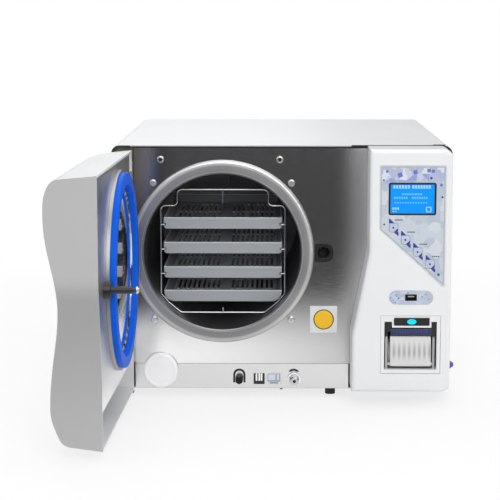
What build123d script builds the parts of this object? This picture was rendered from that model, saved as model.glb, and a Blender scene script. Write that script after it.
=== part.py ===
from build123d import *
import math
import os

# A bench-top steam steriliser with its door swung open: a round chamber with a rack of four
# trays, a moulded control console with a screen, keys, data port and slip printer, and the
# tanks, pump and steam generator behind. Millimetres, +Z up, +Y away from the front. The
# origin is on the bench, midway between the four feet.
os.makedirs("parts", exist_ok=True)

# Place of the chamber axis and of the steel front in the frame
chamber_x = -10.0
chamber_z = 232.5
front_y = -275.0

# Casing, seen from the front: distances from the chamber axis
case_left = -172.0
case_right = 356.0
case_top = 166.0
case_bottom = -218.5
case_depth = 593.0
case_round = 13.0
cover_wall = 1.5
sheet = 1.5
slack = 0.3

# Feet
foot_pitch_x = 321.0
foot_pitch_y = 490.0
foot_radius = 8.0
foot_stud = 2.5
foot_height = chamber_z + case_bottom

# Chamber
bore_radius = 122.5
vessel_wall = 2.5
vessel_length = 400.0
end_dome = 16.0
mouth_bevel = 1.6
flange_radius = 143.0
flange_proud = 9.0
flange_back = 0.3
jacket_thickness = 12.0
jacket_start = 12.0
cradle_thickness = 4.0
cradle_half_width = 92.0
cradle_places = (0.3 * vessel_length, 0.825 * vessel_length)

# Steel front
fold_x = -137.5
fold_depth = 8.0
service_top = -178.0
service_right = 198.0
screw_square = 107.5
screw_head = 5.4
screw_shank = 2.0
top_screws = ((-95.5, 144.0), (89.3, 144.0))

# Door, drawn shut: distances in front of the steel, then turned about its hinge
door_open = 91.75
hinge_x = -150.0
hinge_ahead = 33.0
door_inner = 22.5
door_left = -170.0
door_gap = 3.0
door_top = 159.4
door_foot = -217.7
door_bulge = 72.0
door_waist = 55.0
door_belly = 70.4
door_wall = 3.0
door_cap = 2.5
hinge_levels = (120.0, -150.0)
hinge_eye = 8.0
hinge_pin_radius = 4.0
bracket_height = 10.0
knuckle_height = 14.0
running = 0.05
inner_bottom = -165.0
frame_ahead = 27.0
frame_thickness = 5.0

# Pressure plate and seal
seal_outer = 141.5
seal_inner = 123.5
plate_radius = 145.4
plate_thickness = 5.1
plate_dish = 3.0
plate_hub = 15.0

# Lock
lock_beside_plate = 12.7
lock_x = plate_radius + lock_beside_plate
lock_z = -2.0
pin_radius = 5.0
pin_reach = 47.5
pin_base_radius = 12.0
pin_base = 9.0
lock_mouth = 8.8
lock_recess = 4.0
claw_travel = 10.0
groove_radius = 3.0
groove_width = 5.0
groove_from_tip = 5.0

# Console
console_back = 3.3
console_face = 72.0
console_wall = 4.0
console_left = 225.0
console_low_left = 200.0
console_right = 350.0
console_bottom = -206.7
kink_high = 8.4
kink_low = -118.6
console_round = 6.0

# Control overlay and its screen and keys
overlay_left = 240.7
overlay_right = 338.9
overlay_top = 141.0
overlay_step = 45.3
overlay_tip = -41.2
overlay_depth = 1.6
overlay_thickness = 0.8
screen_x = 289.2
screen_z = 91.4
screen_width = 71.4
screen_height = 49.0
key_size = 13.0
key_travel = 1.0
key_places = ((261.2, 47.7), (279.6, 29.2), (298.3, 10.7), (317.3, -8.0))

# Data port
port_x = 289.0
port_z = -59.4
port_plate_length = 67.0
port_plate_height = 21.4
port_width = 17.6
port_height = 9.7

# Slip printer
printer_x = 289.2
printer_left = 243.4
printer_right = 335.0
printer_top = -87.3
printer_bottom = -177.7
bay_left = 249.2
bay_right = 329.2
bay_top = -97.0
bay_bottom = -171.4
feed_width = 53.8
feed_height = 11.6
feed_z = -96.9
feed_travel = 1.2
cover_left = 258.8
cover_right = 320.8
cover_top = -120.6
cover_bottom = -167.6
flutes = 8
roll_radius = 19.0
roll_z = -150.0
roll_ahead = 36.0
roll_pin = 3.0

# Service strip
service_z = -202.2
filter_x = -97.2
filter_z = -188.2
filter_cap_radius = 27.3
filter_cap_depth = 12.0
filter_neck = 20.0
drain_x = 26.4
coupling_x = 112.8
plate_marks = ((57.6, 19.4), (80.9, 25.6))
label_x = 158.6
label_z = -107.2
label_size = 42.5

# Rack and trays
rack_front = 27.0
rack_back = vessel_length - 39.0
wire = 1.2
rail_radius = 1.35
stub_radius = 1.0
rail_rise = 7.0
tray_levels = (32.0, -7.2, -46.2, -83.9)
tray_half_width = 93.2
tray_floor_half = 85.9
tray_height = 18.0
tray_length = rack_back - rack_front - 8.0
tray_round = 6.0
tray_wall = 1.2
slot_pitch = 8.1
slots_each_side = 9
slot_width = 4.0
slot_start = 10.0

# Side tap and rear fittings
tap_y = 28.5
tap_z = -185.0
tap_radius = 9.0
tap_reach = 10.0
tap_cone = 32.0
rear_y = case_depth - 3.0
inlet_x = 260.0
inlet_z = -150.0
fan_x = 90.0
fan_z = 40.0
fan_half = 40.0

# Working planes: x is across, y is up, and offsets are in front of the steel
front = Plane(origin=(chamber_x, front_y, chamber_z), x_dir=(1, 0, 0), z_dir=(0, -1, 0))
# x is across, y runs back into the casing, and offsets are upwards
level = Plane(origin=(chamber_x, front_y, chamber_z), x_dir=(1, 0, 0), z_dir=(0, 0, 1))
# x is in front of the steel, y is up, and offsets run to the left
profile = Plane(origin=(chamber_x, front_y, chamber_z), x_dir=(0, -1, 0), z_dir=(-1, 0, 0))
chamber_axis = Axis((chamber_x, front_y, chamber_z), (0, 1, 0))
hinge_axis = Axis((chamber_x + hinge_x, front_y - hinge_ahead, 0), (0, 0, 1))


def save(solid, name):
    """Label a finished piece and write its STEP file."""
    solid.label = name
    export_step(solid, f"parts/{name}.step")


def save_door(solid, name):
    """Swing a piece of the door from shut to its open rest place, then save it."""
    save(solid.rotate(hinge_axis, -door_open), name)


def box_between(across, ahead, up):
    """A block given by its low and high limits across, in front of the steel, and up."""
    with BuildPart() as block:
        with BuildSketch(front.offset(ahead[0])):
            with Locations(((across[0] + across[1]) / 2, (up[0] + up[1]) / 2)):
                Rectangle(across[1] - across[0], up[1] - up[0])
        extrude(amount=ahead[1] - ahead[0])
    return block.part


def cover_outline(inset):
    """The casing's section, drawn in by one distance all round and rounded at the top."""
    with BuildSketch(front) as outline:
        with Locations(((case_left + case_right) / 2, (case_top + case_bottom) / 2)):
            Rectangle(case_right - case_left - 2 * inset, case_top - case_bottom - 2 * inset)
        fillet(outline.vertices().sort_by(Axis.Y)[-2:], case_round - inset)
    return outline.sketch


def bar_along_front(x, z, radius, start, end):
    """A round bar square to the steel front, between two distances ahead of it."""
    with BuildPart() as bar:
        with BuildSketch(front.offset(start)):
            with Locations((x, z)):
                Circle(radius)
        extrude(amount=end - start)
    return bar.part


# Base pan with its side flanges and the holes of the feet
pan_left = case_left + cover_wall + slack
pan_right = case_right - cover_wall - slack
pan_flange = 14.0
feet_mid_y = foot_pitch_y / 2 + 30.0
with BuildPart() as base_pan:
    with BuildSketch(level.offset(case_bottom)):
        with Locations(((pan_left + pan_right) / 2, case_depth / 2)):
            Rectangle(pan_right - pan_left, case_depth - 6.0)
    extrude(amount=sheet)
    for edge_x in (pan_left + sheet / 2, pan_right - sheet / 2):
        with BuildSketch(level.offset(case_bottom)):
            with Locations((edge_x, case_depth / 2)):
                Rectangle(sheet, case_depth - 26.0)
        extrude(amount=pan_flange)
    with BuildSketch(Plane.XY.offset(foot_height)):
        with GridLocations(foot_pitch_x, foot_pitch_y, 2, 2):
            Circle(foot_stud + running)
    extrude(amount=sheet, mode=Mode.SUBTRACT)
    with BuildSketch(level.offset(case_bottom)):
        with Locations((225.0, case_depth - 163.0)):
            with GridLocations(14.0, 60.0, 9, 2):
                SlotOverall(40.0, 5.0, rotation=90)
    extrude(amount=sheet, mode=Mode.SUBTRACT)
save(base_pan.part, "base_pan")

# Rubber feet on short studs
with BuildPart() as feet:
    with BuildSketch(Plane.XY):
        with GridLocations(foot_pitch_x, foot_pitch_y, 2, 2):
            Circle(foot_radius)
    extrude(amount=foot_height)
    with BuildSketch(Plane.XY.offset(foot_height)):
        with GridLocations(foot_pitch_x, foot_pitch_y, 2, 2):
            Circle(foot_stud)
    extrude(amount=6.0)
save(feet.part, "feet")

# Outer cover: one folded sheet with rounded long edges, open below
case_mid = (case_left + case_right) / 2
with BuildPart() as casing_cover:
    extrude(cover_outline(0), amount=-case_depth)
    extrude(cover_outline(cover_wall), amount=-case_depth, mode=Mode.SUBTRACT)
    add(box_between((pan_left, pan_right), (-case_depth, 0), (case_bottom - 1, case_bottom + 50)),
        mode=Mode.SUBTRACT)
    add(box_between((case_right - 5, case_right + 5), (-tap_y - 4.5, -tap_y + 4.5),
                    (tap_z - 4.5, tap_z + 4.5)), mode=Mode.SUBTRACT)
save(casing_cover.part, "casing_cover")

# Black trim between the cover's front edge and the console: a thin line, thick at the corners
trim_line = 2.2
trim_corner = 4.8
trim_arm = 29.0
trim_drop = 17.0
trim_depth = 3.0
with BuildPart() as front_trim:
    extrude(cover_outline(0.3), amount=trim_depth)
    extrude(cover_outline(trim_corner), amount=trim_depth, mode=Mode.SUBTRACT)
    add(box_between((case_left, case_right), (-1, trim_depth + 1),
                    (case_bottom - 1, case_top - trim_drop)), mode=Mode.SUBTRACT)
    add(box_between((case_left + trim_arm, case_right - trim_arm), (-1, trim_depth + 1),
                    (case_top - trim_corner - 1, case_top - 1.6 - trim_line)), mode=Mode.SUBTRACT)
    add(box_between((case_left + trim_arm, case_right - trim_arm), (-1, trim_depth + 1),
                    (case_top - 1.6, case_top + 1)), mode=Mode.SUBTRACT)
save(front_trim.part, "front_trim")

# Steel front: folded back at its left edge, with the chamber hole, lock hole and screw holes
panel_top = case_top - cover_wall - slack


def lock_outline(grow):
    """The lock recess: square to the left, well rounded to the right."""
    with BuildSketch(front) as outline:
        with Locations((lock_x + 0.6, lock_z)):
            Rectangle(28.2 + 2 * grow, 28.2 + 2 * grow)
        fillet(outline.vertices().group_by(Axis.X)[-1], 11.0 + grow)
        fillet(outline.vertices().group_by(Axis.X)[0], 3.0 + grow)
    return outline.sketch


with BuildPart() as front_panel:
    with BuildSketch(level.offset(service_top)):
        with BuildLine():
            Polyline((pan_right, 0), (fold_x, 0), (fold_x, fold_depth), (pan_left, fold_depth),
                     (pan_left, fold_depth + sheet), (fold_x + sheet, fold_depth + sheet),
                     (fold_x + sheet, sheet), (pan_right, sheet), close=True)
        make_face()
    extrude(amount=panel_top - service_top)
    corner = front_panel.edges().filter_by(Axis.Z).filter_by_position(
        Axis.Y, front_y - 0.1, front_y + 0.1).sort_by(Axis.X)[0]
    fillet(corner, 1.4)
    add(box_between((fold_x + 2, pan_right), (-16.0, -sheet), (service_top, service_top + sheet)))
    extrude(cover_outline(cover_wall + slack), amount=20, both=True, mode=Mode.INTERSECT)
    add(bar_along_front(0, 0, bore_radius + vessel_wall + 1.0, -5, 5), mode=Mode.SUBTRACT)
    extrude(lock_outline(0.2), amount=-20, mode=Mode.SUBTRACT)
    add(bar_along_front(filter_x, filter_z, filter_neck + 1.0, -20, 5), mode=Mode.SUBTRACT)
    for place in top_screws:
        add(bar_along_front(place[0], place[1], screw_shank + running, -5, 5), mode=Mode.SUBTRACT)
    for sx in (-1, 1):
        for sz in (-1, 1):
            add(bar_along_front(sx * screw_square, sz * screw_square, screw_shank + running, -5, 5),
                mode=Mode.SUBTRACT)
save(front_panel.part, "front_panel")

# Service strip under the front, slightly proud, with a foot flange on the base pan
strip_bottom = case_bottom + sheet + 0.1
with BuildPart() as service_panel:
    add(box_between((fold_x, service_right), (-0.5, 1.0), (strip_bottom, service_top - 0.3)))
    add(box_between((fold_x, service_right), (-14.0, -0.5), (strip_bottom, strip_bottom + sheet)))
    add(bar_along_front(filter_x, filter_z, filter_neck + 1.0, -5, 5), mode=Mode.SUBTRACT)
    add(bar_along_front(drain_x, service_z, 4.0, -5, 5), mode=Mode.SUBTRACT)
    add(bar_along_front(coupling_x, service_z, 5.0, -5, 5), mode=Mode.SUBTRACT)
save(service_panel.part, "service_panel")

# Domed screws with a cross recess round the chamber and along the top of the front
with BuildPart() as panel_screws:
    corners = [(sx * screw_square, sz * screw_square) for sx in (-1, 1) for sz in (-1, 1)]
    for place in corners + list(top_screws):
        with BuildSketch(front):
            with Locations(place):
                Circle(screw_head)
        extrude(amount=3.0)
        add(bar_along_front(place[0], place[1], screw_shank, -9, 0))
    fillet(panel_screws.faces().group_by(Axis.Y)[0].edges(), 1.8)
    for place in corners + list(top_screws):
        with BuildSketch(front.offset(3.0)):
            with Locations(place):
                Rectangle(6.0, 1.2)
                Rectangle(1.2, 6.0)
        extrude(amount=-1.4, mode=Mode.SUBTRACT)
save(panel_screws.part, "panel_screws")

# Chamber: a tube with a shallow domed end, and the machined flange round its mouth
vessel_outer = bore_radius + vessel_wall
with BuildPart() as chamber_vessel:
    with BuildSketch(profile):
        with BuildLine():
            Line((flange_proud - mouth_bevel, bore_radius), (-vessel_length, bore_radius))
            TangentArc((-vessel_length - end_dome, 0), (-vessel_length, bore_radius), tangent=(0, 1))
            Line((-vessel_length - end_dome, 0), (-vessel_length - end_dome - 3, 0))
            TangentArc((-vessel_length - end_dome - 3, 0), (-vessel_length - 2.5, vessel_outer),
                       tangent=(0, 1))
            Line((-vessel_length - 2.5, vessel_outer), (flange_proud, vessel_outer))
            Line((flange_proud, vessel_outer), (flange_proud, bore_radius + mouth_bevel))
            Line((flange_proud, bore_radius + mouth_bevel), (flange_proud - mouth_bevel, bore_radius))
        make_face()
    revolve(axis=chamber_axis)
save(chamber_vessel.part, "chamber_vessel")

with BuildPart() as chamber_flange:
    with BuildSketch(front.offset(flange_back)):
        Circle(flange_radius)
        Circle(vessel_outer + 0.02, mode=Mode.SUBTRACT)
    extrude(amount=flange_proud - flange_back)
    rims = chamber_flange.edges().filter_by(GeomType.CIRCLE).group_by(Axis.Y)[0].sort_by(SortBy.RADIUS)
    fillet(rims[-1], 4.0)
save(chamber_flange.part, "chamber_flange")

# Insulation round the tube, and the two saddles that carry it on the base pan
jacket_radius = vessel_outer + 0.3 + jacket_thickness
with BuildPart() as insulation_jacket:
    with BuildSketch(front.offset(-jacket_start)):
        Circle(jacket_radius)
        Circle(vessel_outer + 0.3, mode=Mode.SUBTRACT)
    extrude(amount=-(vessel_length - jacket_start - 4.0))
save(insulation_jacket.part, "insulation_jacket")

with BuildPart() as chamber_cradle:
    for place in cradle_places:
        with BuildSketch(front.offset(-place)):
            with Locations((0, (case_bottom + sheet + 0.1) / 2 - 30)):
                Rectangle(2 * cradle_half_width, -(case_bottom + sheet + 0.1) - 60)
            Circle(jacket_radius + 0.1, mode=Mode.SUBTRACT)
            with Locations((0, case_bottom + 40)):
                Rectangle(2 * cradle_half_width - 60, 40, mode=Mode.SUBTRACT)
        extrude(amount=-cradle_thickness)
save(chamber_cradle.part, "chamber_cradle")

# Lock socket: a black moulding in the front with a round mouth, and the claw's guide behind
groove_ahead = door_inner - pin_reach + groove_from_tip + groove_width / 2
claw_thickness = groove_width - 1.4
claw_width = 22.0
claw_gap = 0.4
guide_low = lock_z - 16.0
guide_high = lock_z + 34.0
with BuildPart() as lock_socket:
    extrude(lock_outline(0), amount=-18.0)
    add(box_between((lock_x - 20, lock_x + 20), (-48.0, -sheet - 0.1), (guide_low, guide_high)))
    add(box_between((lock_x - 60, lock_x + 60), (-lock_recess, 1), (-60, 60)), mode=Mode.SUBTRACT)
    add(bar_along_front(lock_x, lock_z, lock_mouth, -40, 0), mode=Mode.SUBTRACT)
    with BuildSketch(front.offset(-lock_recess)):
        with Locations((lock_x, lock_z)):
            Circle(lock_mouth + 1.4)
    extrude(amount=-1.4, taper=45, mode=Mode.SUBTRACT)
    add(box_between((lock_x - claw_width / 2 - claw_gap, lock_x + claw_width / 2 + claw_gap),
                    (groove_ahead - claw_thickness / 2 - claw_gap,
                     groove_ahead + claw_thickness / 2 + claw_gap),
                    (lock_z - 12.0, guide_high + 1)), mode=Mode.SUBTRACT)
save(lock_socket.part, "lock_socket")

# Lock claw, held up while the door is open: its fork drops into the groove of the pin
claw_foot = lock_z + pin_radius + 0.6
with BuildPart() as lock_claw:
    with BuildSketch(front.offset(groove_ahead - claw_thickness / 2)):
        with Locations((lock_x, claw_foot + 14.0)):
            Rectangle(claw_width, 28.0)
        with Locations((lock_x, claw_foot + claw_travel - pin_radius - 0.6)):
            Circle(groove_radius + 0.4, mode=Mode.SUBTRACT)
        with Locations((lock_x, claw_foot)):
            Rectangle(2 * groove_radius + 0.8, 2 * (claw_travel - pin_radius - 0.6), mode=Mode.SUBTRACT)
    extrude(amount=claw_thickness)
save(lock_claw.part, "lock_claw")

# Hinge brackets on the folded-back edge of the front, and the pins they hold
arm_half = 8.0
with BuildPart() as hinge_brackets:
    for centre in hinge_levels:
        low = centre - bracket_height / 2
        high = centre + bracket_height / 2
        add(box_between((hinge_x - arm_half, hinge_x + arm_half), (-fold_depth, hinge_ahead),
                        (low, high)))
        add(box_between((case_left + 5, fold_x - 2), (-fold_depth, -fold_depth + 3.0),
                        (centre - 20, centre + 20)))
        with BuildSketch(level.offset(low)):
            with Locations((hinge_x, -hinge_ahead)):
                Circle(hinge_eye)
        extrude(amount=bracket_height)
        with BuildSketch(level.offset(low)):
            with Locations((hinge_x, -hinge_ahead)):
                Circle(hinge_pin_radius)
        extrude(amount=bracket_height, mode=Mode.SUBTRACT)
save(hinge_brackets.part, "hinge_brackets")

pin_half = bracket_height / 2 + slack + knuckle_height
with BuildPart() as hinge_pins:
    for centre in hinge_levels:
        with BuildSketch(level.offset(centre - pin_half)):
            with Locations((hinge_x, -hinge_ahead)):
                Circle(hinge_pin_radius)
        extrude(amount=2 * pin_half)
save(hinge_pins.part, "hinge_pins")

# Door mouldings. The outer form is what three outlines have in common: the wavy side, the
# plan that thins towards the hinge, and the front outline that follows the console's edge.
door_right = console_left - door_gap
door_low_right = console_low_left - door_gap


def door_form(inset, edge_inset):
    """The door's outer form, drawn in by one distance all round and another at the free edge."""
    right = door_right - edge_inset
    low_right = door_low_right - edge_inset
    top = door_top - inset
    foot = door_foot + inset
    with BuildPart() as form:
        with BuildSketch(front.offset(door_inner)):
            with BuildLine():
                Polyline((door_left + inset, foot - 5), (low_right, foot - 5), (low_right, kink_low),
                         (right, kink_high), (right, top + 5), (door_left + inset, top + 5),
                         close=True)
            make_face()
        extrude(amount=90)
        with BuildSketch(profile):
            with BuildLine():
                Line((door_inner, top), (door_inner + 52 - inset, top - 4.8))
                Spline((door_inner + 52 - inset, top - 4.8),
                       (door_inner + 66.2 - inset, top - 16.5),
                       (door_inner + door_bulge - inset, 106.0),
                       tangents=[(1, -0.1), (0, -1)])
                Spline((door_inner + door_bulge - inset, 106.0),
                       (door_inner + door_waist - inset, -15.0),
                       (door_inner + door_belly - inset, -160.0),
                       tangents=[(0, -1), (0, -1), (0, -1)])
                Spline((door_inner + door_belly - inset, -160.0),
                       (door_inner + 61.8 - inset, foot + 23.5),
                       (door_inner + 44 - inset, foot + 5.6),
                       tangents=[(0, -1), (-1, -0.13)])
                Line((door_inner + 44 - inset, foot + 5.6), (door_inner, foot))
                Line((door_inner, foot), (door_inner, top))
            make_face()
        extrude(amount=300, both=True, mode=Mode.INTERSECT)
        with BuildSketch(level):
            with BuildLine():
                Line((door_left + inset, -door_inner), (door_left + inset, -door_inner - 14))
                Spline((door_left + inset, -door_inner - 14),
                       (door_left + inset + 9, -door_inner - 36 + inset),
                       (door_left + 110, -door_inner - 60 + inset),
                       (60, -door_inner - 78 + inset),
                       tangents=[(0, -1), (1, -0.02)])
                Line((60, -door_inner - 78 + inset), (right + 9, -door_inner - 80 + inset))
                Line((right + 9, -door_inner - 80 + inset), (right + 9, -door_inner))
                Line((right + 9, -door_inner), (door_left + inset, -door_inner))
            make_face()
        extrude(amount=300, both=True, mode=Mode.INTERSECT)
    return form.part


notch_half = bracket_height / 2 + 2.0
with BuildPart() as door_shell:
    add(door_form(0, door_cap))
    add(door_form(door_wall, door_cap + 2.0), mode=Mode.SUBTRACT)
    for centre in hinge_levels:
        add(box_between((door_left - 5, hinge_x), (door_inner - 5, hinge_ahead + 14),
                        (centre - notch_half, centre + notch_half)), mode=Mode.SUBTRACT)
save_door(door_shell.part, "door_shell")

with BuildPart() as door_edge:
    add(door_form(0, 0))
    add(door_form(0, door_cap), mode=Mode.SUBTRACT)
save_door(door_edge.part, "door_edge")

# Inner steel pan of the door: a shallow pan whose flanges seat inside the moulding
inner_left = hinge_x + 12.0
inner_margin = door_cap + 2.0 + 0.2
inner_top = door_top - door_wall - 0.8
pan_depth = 4.0


def inner_outline(inset, ahead):
    """The inner pan's outline, which keeps clear of the door's free edge."""
    with BuildSketch(front.offset(ahead)) as outline:
        with BuildLine():
            Polyline((inner_left + inset, inner_bottom + inset),
                     (door_low_right - inner_margin - inset, inner_bottom + inset),
                     (door_low_right - inner_margin - inset, kink_low),
                     (door_right - inner_margin - inset, kink_high),
                     (door_right - inner_margin - inset, inner_top - inset),
                     (inner_left + inset, inner_top - inset), close=True)
        make_face()
    return outline.sketch


with BuildPart() as door_inner_panel:
    extrude(inner_outline(0, door_inner), amount=pan_depth)
    fillet(door_inner_panel.faces().sort_by(Axis.Y)[-1].edges(), 1.0)
    extrude(inner_outline(sheet, door_inner + sheet), amount=pan_depth, mode=Mode.SUBTRACT)
    add(bar_along_front(0, 0, plate_hub + 1.0, door_inner - 1, door_inner + 5), mode=Mode.SUBTRACT)
    add(bar_along_front(lock_x, lock_z, pin_radius + 0.5, door_inner - 1, door_inner + 5),
        mode=Mode.SUBTRACT)
save_door(door_inner_panel.part, "door_inner_panel")

# Load-bearing plate inside the door, with the knuckles that ride on the hinge pins
frame_right = lock_x + 14.0
frame_low = hinge_levels[1] - 14.0
frame_high = hinge_levels[0] + 20.0
with BuildPart() as door_frame:
    add(box_between((hinge_x + hinge_eye + 1.2, frame_right),
                    (frame_ahead, frame_ahead + frame_thickness), (frame_low, frame_high)))
    for centre in hinge_levels:
        for low in (centre + bracket_height / 2 + slack,
                    centre - bracket_height / 2 - slack - knuckle_height):
            with BuildSketch(level.offset(low)):
                with Locations((hinge_x, -hinge_ahead)):
                    Circle(hinge_eye)
            extrude(amount=knuckle_height)
            add(box_between((hinge_x, hinge_x + hinge_eye + 3),
                            (frame_ahead, frame_ahead + frame_thickness),
                            (low, low + knuckle_height)))
            with BuildSketch(level.offset(low)):
                with Locations((hinge_x, -hinge_ahead)):
                    Circle(hinge_pin_radius + running)
            extrude(amount=knuckle_height, mode=Mode.SUBTRACT)
    for sx in (-95.0, 130.0):
        for sz in (-135.0, 120.0):
            add(bar_along_front(sx, sz, 6.0, door_inner + sheet, frame_ahead))
    add(bar_along_front(lock_x, lock_z, 4.0, frame_ahead - 1, frame_ahead + 6), mode=Mode.SUBTRACT)
save_door(door_frame.part, "door_frame")

# Pressure plate: a polished disc with a shallow dish inside the seal, and the hub that carries it
plate_back = door_inner - 0.2
plate_face = plate_back - plate_thickness
dish_edge = seal_inner - 5.5
with BuildPart() as pressure_plate:
    with BuildSketch(profile):
        with BuildLine():
            Line((frame_ahead, 0), (frame_ahead, plate_hub))
            Line((frame_ahead, plate_hub), (plate_back, plate_hub))
            Line((plate_back, plate_hub), (plate_back, plate_radius))
            Line((plate_back, plate_radius), (plate_face, plate_radius))
            Line((plate_face, plate_radius), (plate_face, dish_edge))
            Line((plate_face, dish_edge), (plate_face + 1.5, dish_edge - 1.5))
            TangentArc((plate_face - plate_dish, 0), (plate_face + 1.5, dish_edge - 1.5), tangent=(0, 1))
            Line((plate_face - plate_dish, 0), (frame_ahead, 0))
        make_face()
    revolve(axis=chamber_axis)
save_door(pressure_plate.part, "pressure_plate")

# Silicone seal: a flat ring clamped against the pressure plate
seal_face = flange_proud + slack
with BuildPart() as door_gasket:
    with BuildSketch(front.offset(seal_face)):
        Circle(seal_outer)
        Circle(seal_inner, mode=Mode.SUBTRACT)
    extrude(amount=plate_face - 0.1 - seal_face)
    lips = door_gasket.edges().filter_by(GeomType.CIRCLE).group_by(Axis.Y)[-1]
    fillet(lips, 2.0)
save_door(door_gasket.part, "door_gasket")

# Lock pin: stepped base, plain shank with a groove, and a coned tip
pin_tip = door_inner - pin_reach
with BuildPart() as lock_pin:
    add(bar_along_front(lock_x, lock_z, pin_base_radius, door_inner - pin_base, door_inner - 0.1))
    add(bar_along_front(lock_x, lock_z, 4.0, door_inner - 0.1, frame_ahead + frame_thickness + 2))
    add(bar_along_front(lock_x, lock_z, pin_radius, pin_tip, door_inner - pin_base))
    tip_rim = lock_pin.edges().filter_by(GeomType.CIRCLE).sort_by(Axis.Y)[-1]
    chamfer(tip_rim, 2.5)
    with BuildSketch(front.offset(pin_tip + groove_from_tip)):
        with Locations((lock_x, lock_z)):
            Circle(pin_radius + 1)
            Circle(groove_radius, mode=Mode.SUBTRACT)
    extrude(amount=groove_width, mode=Mode.SUBTRACT)
save_door(lock_pin.part, "lock_pin")

# Console moulding: hollow behind, with the openings for all it carries


def console_outline(inset):
    """The console seen from the front, with its cranked left edge."""
    with BuildSketch(front.offset(console_back)) as outline:
        with BuildLine():
            Polyline((console_left + inset, case_top - inset), (console_right - inset, case_top - inset),
                     (console_right - inset, console_bottom + inset),
                     (console_low_left + inset, console_bottom + inset),
                     (console_low_left + inset, kink_low), (console_left + inset, kink_high),
                     close=True)
        make_face()
        fillet(outline.vertices().sort_by(Axis.X)[-2:], 13.0 - inset)
        cranks = outline.vertices().filter_by_position(Axis.Y, kink_low - 1, kink_high + 1)
        fillet(cranks, 40.0)
    return outline.sketch


def overlay_outline(grow, ahead):
    """The control overlay: a rectangle whose lower edge runs down to the right."""
    with BuildSketch(front.offset(ahead)) as outline:
        with BuildLine():
            Polyline((overlay_left - grow, overlay_top + grow), (overlay_right + grow, overlay_top + grow),
                     (overlay_right + grow, overlay_tip - 1.6 * grow),
                     (overlay_right - 3.5 - 0.4 * grow, overlay_tip - grow),
                     (overlay_left - grow, overlay_step - 0.6 * grow), close=True)
        make_face()
    return outline.sketch


fillet_margin = 0.4
with BuildPart() as fascia:
    extrude(console_outline(0), amount=console_face - console_back)
    fillet(fascia.faces().sort_by(Axis.Y)[0].edges(), console_round)
    extrude(console_outline(console_wall), amount=console_face - console_back - console_wall,
            mode=Mode.SUBTRACT)
    extrude(overlay_outline(overlay_depth, console_face), amount=-overlay_depth, taper=45,
            mode=Mode.SUBTRACT)
    with BuildSketch(front.offset(console_face + 1)):
        with Locations((screen_x, screen_z)):
            RectangleRounded(screen_width, screen_height, 2.0)
        with Locations(*key_places):
            RectangleRounded(key_size + 2 * fillet_margin, key_size + 2 * fillet_margin, 2.4)
        with Locations((port_x, port_z)):
            Rectangle(port_width + 0.4, port_height + 0.4)
        with Locations(((printer_left + printer_right) / 2, (printer_top + printer_bottom) / 2)):
            Rectangle(printer_right - printer_left + 0.4, printer_top - printer_bottom + 0.4)
    extrude(amount=-console_wall - 3, mode=Mode.SUBTRACT)
    with BuildSketch(front.offset(console_face)):
        with Locations((port_x, port_z)):
            SlotOverall(port_plate_length + 0.6, port_plate_height + 0.6)
    extrude(amount=-0.9, mode=Mode.SUBTRACT)
save(fascia.part, "fascia")

with BuildPart() as control_overlay:
    extrude(overlay_outline(-0.3, console_face - overlay_depth), amount=overlay_thickness)
    with BuildSketch(front.offset(console_face)):
        with Locations((screen_x, screen_z)):
            RectangleRounded(screen_width, screen_height, 2.0)
        with Locations(*key_places):
            RectangleRounded(key_size + 2 * fillet_margin, key_size + 2 * fillet_margin, 2.4)
    extrude(amount=-4, mode=Mode.SUBTRACT)
save(control_overlay.part, "control_overlay")

# Screen module: a glass step that fills the window and a wider flange behind the wall
wall_back = console_face - console_wall
with BuildPart() as lcd_screen:
    with BuildSketch(front.offset(wall_back - 0.1)):
        with Locations((screen_x, screen_z)):
            RectangleRounded(screen_width - 0.4, screen_height - 0.4, 1.8)
    extrude(amount=console_face - overlay_depth + 0.5 - wall_back + 0.1)
    with BuildSketch(front.offset(wall_back - 0.1)):
        with Locations((screen_x, screen_z)):
            Rectangle(screen_width + 8, screen_height + 8)
    extrude(amount=-6.0)
save(lcd_screen.part, "lcd_screen")

# Four keys on a slant, each with a keeper flange behind the wall
board_ahead = 56.0
board_thickness = 1.6
key_back = wall_back - slack - 2.0
for number, place in enumerate(key_places, 1):
    with BuildPart() as button:
        with BuildSketch(front.offset(key_back)):
            with Locations(place):
                Rectangle(key_size + 3.5, key_size + 3.5)
        extrude(amount=2.0)
        with BuildSketch(front.offset(key_back)):
            with Locations(place):
                RectangleRounded(key_size, key_size, 2.0)
        extrude(amount=console_face - 0.2 - key_back)
        fillet(button.faces().sort_by(Axis.Y)[0].edges(), 0.6)
    save(button.part, f"button_{number}")

# Control board on four posts of its own, with a switch stem behind each key
board_middle = 45.0
board_width = 96.0
board_length = 180.0
with BuildPart() as control_board:
    with BuildSketch(front.offset(board_ahead)):
        with Locations((screen_x, board_middle)):
            Rectangle(board_width, board_length)
    extrude(amount=board_thickness)
    for place in key_places:
        add(bar_along_front(place[0], place[1], 3.0, board_ahead + board_thickness,
                            key_back - key_travel - slack))
    with BuildSketch(front.offset(board_ahead + board_thickness)):
        with Locations((screen_x, screen_z)):
            Rectangle(screen_width - 10, screen_height - 10)
    extrude(amount=wall_back - 6.2 - board_ahead - board_thickness)
save(control_board.part, "control_board")

# Data port and its oval plate
with BuildPart() as usb_plate:
    with BuildSketch(front.offset(console_face - 0.9)):
        with Locations((port_x, port_z)):
            SlotOverall(port_plate_length, port_plate_height)
            Rectangle(port_width + 0.4, port_height + 0.4, mode=Mode.SUBTRACT)
    extrude(amount=0.6)
save(usb_plate.part, "usb_plate")

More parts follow.
